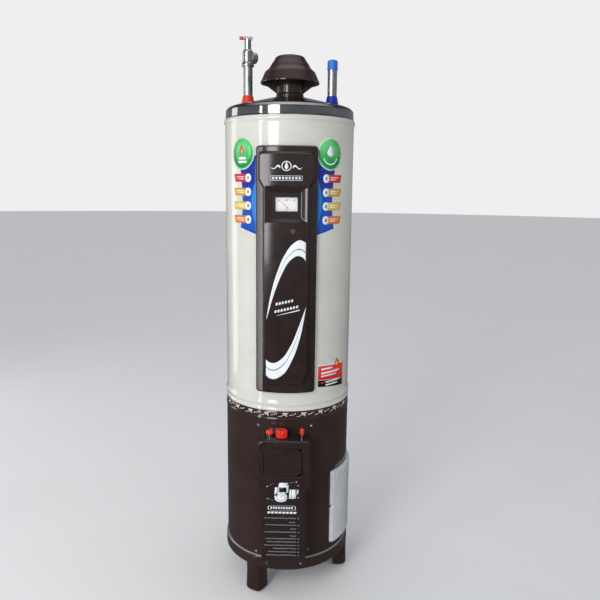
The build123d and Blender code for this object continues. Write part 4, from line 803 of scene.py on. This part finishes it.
def make_tag():
    """Film tag low on the right: white edge, red over black, a small flame above, and dashes."""
    base, over, top = (casing_place(UP_R + lift) for lift in (0.35, 0.6, 0.8))
    left, middle, right = 29.2, 45.8, 62.5
    across = np.linspace(left, right, 14)
    share = (across - left) / (right - left)

    def band(low_left, low_right, high_left, high_right, place, ink, inset=0.0):
        inner = across + (middle - across) * inset * 0.02
        low_edge = np.stack([inner, low_left + (low_right - low_left) * share + inset], -1)
        high_edge = np.stack([inner, high_left + (high_right - high_left) * share - inset], -1)
        return strip(low_edge, high_edge, place, ink)

    parts = [band(648, 636, 716, 710, base, white_ink), band(650, 638, 672, 661, over, dark_ink, 1.2),
             band(671, 660, 714, 708, over, red_ink, 1.2),
             teardrop(52, 702, 728, 3.0, over, red_ink, 0.4), teardrop(52, 705, 719, 1.5, top, yellow_ink,
                                                                       0.2)]
    dashes = ((700, 33, 46, 5), (688, 33, 56, 5), (680, 33, 51, 3.4), (660, 33, 36, 3.4), (661, 38, 57, 3.4),
              (652, 38, 53, 3.4))
    for low, start, end, tall in dashes:
        ink = red_ink if end == 36 else white_ink
        parts.append(bar(start, end, low - 4 * (start - 30) / 30, low + tall, top, ink, 0, 6))
    piece("side_tag", parts, thickness=PRINT)


def make_seam_print():
    """Printed band under the seam: repeats of a blot, dashes and a thin stroke."""
    repeats = 22
    pitch = 2 * math.pi * LOW_R / repeats
    blot = ((-8, 8, 1.5, 5.5, 2, 4), (-6, 1, -3, 1.5, 1, 3), (3, 7, -6.5, 1.5, -2, 3), (-12, -9, -6, -2, 2,
                                                                                        3),
            (12, 19, -3, -0.5, 2, 3), (21, 25, -1.5, 1.5, 1.5, 3), (28, 31, 0.5, 4, 1, 3),
            (-21, -12, -6.5, -5, 3, 3))
    place = wrap_place(LOW_R + 0.3)
    parts = []
    for i in range(repeats):
        parts += bars(blot, place, seam_ink, ((i - repeats / 2) * pitch, SEAM_Z - 10))
    piece("seam_print", parts, thickness=PRINT)


# ---------------------------------------------------------------- prints on the panel and cover
def swoosh(outer, inner, split, ink, gap_ink):
    """A crescent between two smooth curves with a thin dark line along its middle.

    Each curve is a cubic Hermite spline through its points (arc, height), whose tangents are the
    slopes between neighbouring points.
    """
    share = np.linspace(0, 1, 41)

    def curve(points):
        knots = np.array(points, float)
        chord = np.concatenate([[0], np.cumsum(np.linalg.norm(np.diff(knots, axis=0), axis=1))])
        chord /= chord[-1]
        tangents = np.gradient(knots, chord, axis=0)
        index = np.clip(np.searchsorted(chord, share, side="right") - 1, 0, len(knots) - 2)
        step = (chord[index + 1] - chord[index])[:, None]
        t = (share[:, None] - chord[index][:, None]) / step
        start = ((2 * t ** 3 - 3 * t ** 2 + 1) * knots[index]
                 + (t ** 3 - 2 * t ** 2 + t) * step * tangents[index])
        end = (3 * t ** 2 - 2 * t ** 3) * knots[index + 1] + (t ** 3 - t ** 2) * step * tangents[index + 1]
        return start + end

    a, b = curve(outer), curve(inner)
    half_gap = 0.025
    mid_low, mid_high = a + (b - a) * (split - half_gap), a + (b - a) * (split + half_gap)
    place, under = field_place(0.3), field_place(0.15)
    return [strip(a, mid_low, place, ink, 9), strip(mid_high, b, place, ink, 9),
            strip(a, b, under, gap_ink, 15)]


def make_panel_prints():
    """Two crescents, a plain emblem over a framed row of blocks, and a leaning line of dashes."""
    upper = swoosh([(52, 1070), (36, 1077), (18, 1066), (-4, 1035), (-24, 985), (-40, 925), (-51, 860)],
                   [(52, 1020), (43, 1031), (31, 1034), (12, 1022), (-10, 985), (-28, 938), (-51, 856)],
                   0.55, white_ink, slate_ink)
    lower = swoosh([(-52, 742), (-42, 734), (-30, 733), (-9, 746), (14, 782), (33, 830), (54, 892)],
                   [(-52, 697), (-44, 689), (-32, 686), (-8, 698), (18, 740), (38, 800), (55, 896)],
                   0.45, white_ink, slate_ink)
    place = field_place(0.3)
    emblem = [disc(0, 1272, 13, 13, place, white_ink, hole=0.82),
              teardrop(0, 1263, 1283, 4.4, place, white_ink)]
    turn = np.linspace(0, 1, 25)
    wave = 1268 + 5 * np.sin(turn * np.pi * 2) * (1 - turn * 0.4)
    thick = 2.6 * (1 - turn) + 0.5
    for side in (-1, 1):
        across = side * (16 + 24 * turn)
        emblem.append(strip(np.stack([across, wave - thick], -1)[::side],
                            np.stack([across, wave + thick], -1)[::side], place, white_ink))
    low, high, half = 1234.0, 1247.0, 41
    emblem += bars(((-half, half, low, low + 1, 0, 12), (-half, half, high - 1, high, 0, 12),
                    (-half, 1 - half, low, high, 0, 5), (half - 1, half, low, high, 0, 5)), place, white_ink)
    emblem += bars([(x - 2.6, x + 2.6, low + 3.2, high - 3.2, 0, 3) for x in np.arange(-34, 35, 8.5)],
                   place, white_ink)
    slope, pitch = 0.24, 8.2
    dashes = []
    for count, start, base in ((6, -27, 897), (8, -30, 876)):
        for i in range(count):
            at = (start + i * pitch, base + i * pitch * slope)
            dashes += bars(((0, 5.2, 0, 7.5, 1.8, 3),), place, white_ink, at)
    across = np.linspace(-24, 38, 12)
    stroke = 868 + (across + 24) * slope
    thick = 0.5 + 3.0 * (across + 24) / 62
    dashes.append(strip(np.stack([across, stroke], -1), np.stack([across, stroke + thick], -1), place,
                        white_ink))
    piece("panel_print", upper + lower + emblem + dashes, thickness=PRINT)


def make_cover_prints():
    """Plain drawing of a control block with leader lines, a capsule, and rows of dashes."""
    place = face_place(COVER_FRONT + 0.12)
    over = face_place(COVER_FRONT + 0.2)
    parts = [disc(-8, 348, 18, 15, place, white_ink, power=2.4),
             disc(-8, 348, 12.5, 10.5, over, slate_ink, hole=0.9)]
    parts += bars(((-16, 14, 362, 384, 1, 3), (14, 34, 344, 372, 4, 3), (33, 41, 358, 372, 1, 3),
                   (-15, 10, 384, 392, 3, 3), (-26, -18, 352, 378, 1, 3)), place, white_ink)
    parts += bars(((-13, 8, 364, 378, 0, 3), (13.5, 15, 346, 382, 0, 3), (20, 21.5, 348, 374, 2, 3),
                   (-9, -7.4, 347, 355, 5, 3)), over, dark_ink)
    # leader lines as (across, height, run, rise, end with the dot)
    leaders = ((-47, 380, 20, 10, 0), (16, 392, 20, 3.5, 1), (36, 384, 6, 0, 1), (34, 346, 8, 1.5, 1),
               (-46, 343, 18, -6, 0))
    for x, z, run, rise, dotted in leaders:
        edge = np.array([[x, z], [x + run, z + rise]], float)
        parts.append(strip(edge, edge + np.array([0, 0.8]), place, grey_ink))
        parts.append(disc(*edge[dotted], 1.4, 1.4, over, white_ink, sides=12))
    parts.append(disc(-5, 315, 40, 7.5, place, white_ink, hole=0.95, power=5.0, sides=64))
    parts += bars([(x - 2.6, x + 2.2, 311.5, 318.5, 0, 3) for x in np.arange(-35, 27, 7.4)], place, white_ink)
    parts += bars([(x - 4.4, x + 4.0, 297.5, 303.5, 1.5, 3) for x in np.arange(-42, 36, 10.6)], place,
                  white_ink)
    chance = np.random.default_rng(7)
    # rows of dashes as (height, left, right)
    rows = ((281.7, -55, 36), (269.8, 16, 36), (260.5, -53, 37), (248.6, 20, 36), (238.4, -55, 37),
            (226.5, 18, 36), (217.7, -51, 37), (207.5, -48, 36), (196.9, -55, 37), (186.8, -29, 36),
            (176.2, -44, 37), (165.6, -50, 37))
    for z, left, right in rows:
        x = left
        while x < right - 1.5:
            length = 2.0 + 5.0 * chance.random()
            tilt = 1.2 * chance.random() - 0.4
            parts.append(bar(x, min(x + length, right), z + tilt, z + tilt + 2.6, place, grey_ink, 0.8, 2))
            x += length + 1.1
        if right - left > 50:
            parts.append(disc(right + 6.5, z + 1.2, 1.1, 1.1, place, white_ink, sides=12))
    piece("cover_print", parts, thickness=0.1)


def make_gauge_print():
    """Scale on the gauge card: an arc of ticks and three plain blocks."""
    place = face_place(-span("gauge_dial")[0][1] + 0.15)
    hub, outer = np.array([3.0, 1159.0]), 27.0
    parts = []
    for degrees in np.linspace(45, 135, 13):
        inner = outer - (4 if degrees % 22.5 < 0.1 else 2.4)
        angle = math.radians(degrees)
        side = np.array([-math.sin(angle), math.cos(angle)]) * 0.35
        ray = np.array([math.cos(angle), math.sin(angle)])
        edge = np.array([hub + ray * outer, hub + ray * inner])
        parts.append(strip(edge - side, edge + side, place, grey_ink))
    parts += bars([(spot - 1.8, spot + 1.8, 1179.5, 1184.5, 0, 3) for spot in (-21, 0, 21)]
                  + [(-1.6, 2.2, 1155.5, 1158.5, 0, 3)], place, grey_ink)
    piece("gauge_print", parts, thickness=0.1)


# ---------------------------------------------------------------- CAD nodes that show as they are
def dress_frame():
    """Give every CAD node that stays its own finish."""
    finishes = {
        brown_enamel: ["flue_cap_gussets"], brown_plastic: ["thermostat_cover", "dial_door"],
        plug_plastic: ["panel_plug"],
        zinc: ["base_pan", "drain_nipple", "drain_plug", "chamber_skirt", "door_hinge", "flue_tube",
               "flue_baffle", "burner_pipe"],
        dark_steel: ["inner_tank"], glass_wool: ["insulation_jacket"], anode_metal: ["anode_rod"],
        iron: ["burner_head"], alloy: ["thermostat_body"], dial_white: ["gauge_dial"],
        pointer_red: ["gauge_needle"], lens_clear: ["gauge_lens"], red_plastic: ["lever_sleeve"],
        bright_steel: ["casing_screws", "relief_lever", "relief_stem", "lever_pin", "relief_spring",
                       "gas_spindle", "pilot_stem", "igniter_stem", "dial_door_pin"],
        plated: ["relief_bonnet", "thermostat_shank", "gauge_bulb", "pilot_burner", "thermocouple"],
        black_plastic: ["igniter_body", "igniter_lead", "gauge_housing", "temperature_dial", "dip_tube"],
    }
    for finish, names in finishes.items():
        for name in names:
            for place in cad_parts[name].material_slots:
                place.material = finish


# ---------------------------------------------------------------- stage, light and camera
MIDDLE = Vector((0, 0, 0.85))       # the softboxes face this point
SKY = 0.64
# what shiny faces mirror: (share of the way from straight down to straight up, grey)
ROOM = ((0.0, 0.10), (0.4, 0.24), (0.5, 0.28), (0.6, 0.20), (0.72, 0.10), (0.85, 0.05), (1.0, 0.06))
# name, azimuth from the front towards +X, elevation, distance, width, height in metres, watts
SOFTBOXES = [("key_softbox", -25, 17, 3.2, 0.95, 2.4, 46.0), ("left_softbox", -110, 4, 3.0, 0.9, 2.6, 12.0),
             ("edge_softbox", -48, 0, 3.0, 0.16, 2.4, 12.0)]


def make_stage():
    """Round pale floor, a soft even sky, and three softboxes from the front left to the left rear."""
    across = np.linspace(0, 2 * np.pi, 97)[None, :]
    radius = np.array([0.001, 1.0, 3.0, 8.0, 30.0])[:, None]
    grid = np.stack([radius * np.cos(across), radius * np.sin(across), 0 * radius * across], -1)
    mesh = bpy.data.meshes.new("floor")
    faces = quads(5, 97)[..., ::-1].reshape(-1, 4)
    mesh.from_pydata(grid.reshape(-1, 3).tolist(), [], faces.tolist())
    floor = bpy.data.objects.new("floor", mesh)
    bpy.context.scene.collection.objects.link(floor)
    made, tree, coords = start_material("pale_floor_paint")
    mesh.materials.append(finish_material(made, tree, {
        "Base Color": between(tree, noise(tree, coords, 400.0), linear("#EEEEEE"), linear("#F0F0F0")),
        "Roughness": 0.9, "Specular IOR Level": 0.1}))
    floor.visible_glossy = False

    world = bpy.data.worlds.new("studio")
    bpy.context.scene.world = world
    world.use_nodes = True
    tree = world.node_tree
    tree.nodes.clear()
    direction = add(tree, "SeparateXYZ", None, {"Vector": add(tree, "TexCoord").outputs["Generated"]})
    height = add(tree, "MapRange", None, {"Value": direction.outputs["Z"], "From Min": -1.0, "From Max": 1.0})
    room = add(tree, "ValToRGB", None, {"Fac": height.outputs["Result"]})
    ramp = room.color_ramp
    for spot, grey in ROOM:
        stop = ramp.elements.new(spot) if spot not in (0.0, 1.0) else ramp.elements[int(spot)]
        stop.color = (grey, grey, grey * 1.05, 1.0)
    path = add(tree, "LightPath")
    seen = add(tree, "Background", None, {"Color": linear("#EFEFEF"), "Strength": 1.0})
    soft = add(tree, "Background", None, {"Color": linear("#F4F6FA"), "Strength": SKY})
    mirrored = add(tree, "Background", None, {"Color": room.outputs["Color"], "Strength": 1.0})
    glossy, direct = path.outputs["Is Glossy Ray"], path.outputs["Is Camera Ray"]
    first = add(tree, "MixShader", None, {"Fac": glossy, 1: soft.outputs[0], 2: mirrored.outputs[0]})
    both = add(tree, "MixShader", None, {"Fac": direct, 1: first.outputs[0], 2: seen.outputs[0]})
    add(tree, "OutputWorld", None, {"Surface": both.outputs[0]})

    for name, azimuth, elevation, reach, width, height, power in SOFTBOXES:
        lamp = bpy.data.lights.new(name, "AREA")
        lamp.shape, lamp.size, lamp.size_y, lamp.energy = "RECTANGLE", width, height, power
        holder = bpy.data.objects.new(name, lamp)
        bpy.context.scene.collection.objects.link(holder)
        a, e = math.radians(azimuth), math.radians(elevation)
        way = Vector((math.sin(a) * math.cos(e), -math.cos(a) * math.cos(e), math.sin(e)))
        holder.location = MIDDLE + way * reach
        holder.rotation_mode = "QUATERNION"
        holder.rotation_quaternion = (-way).to_track_quat("-Z", "Y")


def make_camera():
    """Camera in front, a little above the middle, looking slightly down."""
    ahead = Vector((-0.01659, 0.98383, -0.17838)).normalized()
    level = ahead.cross(Vector((0, 0, 1))).normalized()
    lift = level.cross(ahead)
    roll = math.radians(0.667)
    right = level * math.cos(roll) + lift * math.sin(roll)
    up = lift * math.cos(roll) - level * math.sin(roll)
    camera = bpy.data.objects.new("camera", bpy.data.cameras.new("camera"))
    camera.data.lens, camera.data.sensor_width = 37.2, 36.0
    camera.matrix_world = Matrix((right, up, -ahead)).transposed().to_4x4()
    camera.location = Vector((0.0677, -1.8761, 1.2163))
    bpy.context.scene.collection.objects.link(camera)
    bpy.context.scene.camera = camera


make_camera()
make_stage()
make_base()
for leg_node, leg_bearing in (("leg_front_left", -30), ("leg_right", 90), ("leg_rear_left", 210)):
    make_leg(leg_node, leg_bearing)
make_casings()
make_lid()
make_flue()
make_pipes()
make_valve()
make_panel()
make_access_door()
make_controls()
make_side_prints()
make_tag()
make_seam_print()
make_panel_prints()
make_cover_prints()
make_gauge_print()
dress_frame()
bpy.context.scene.view_settings.view_transform = "Standard"
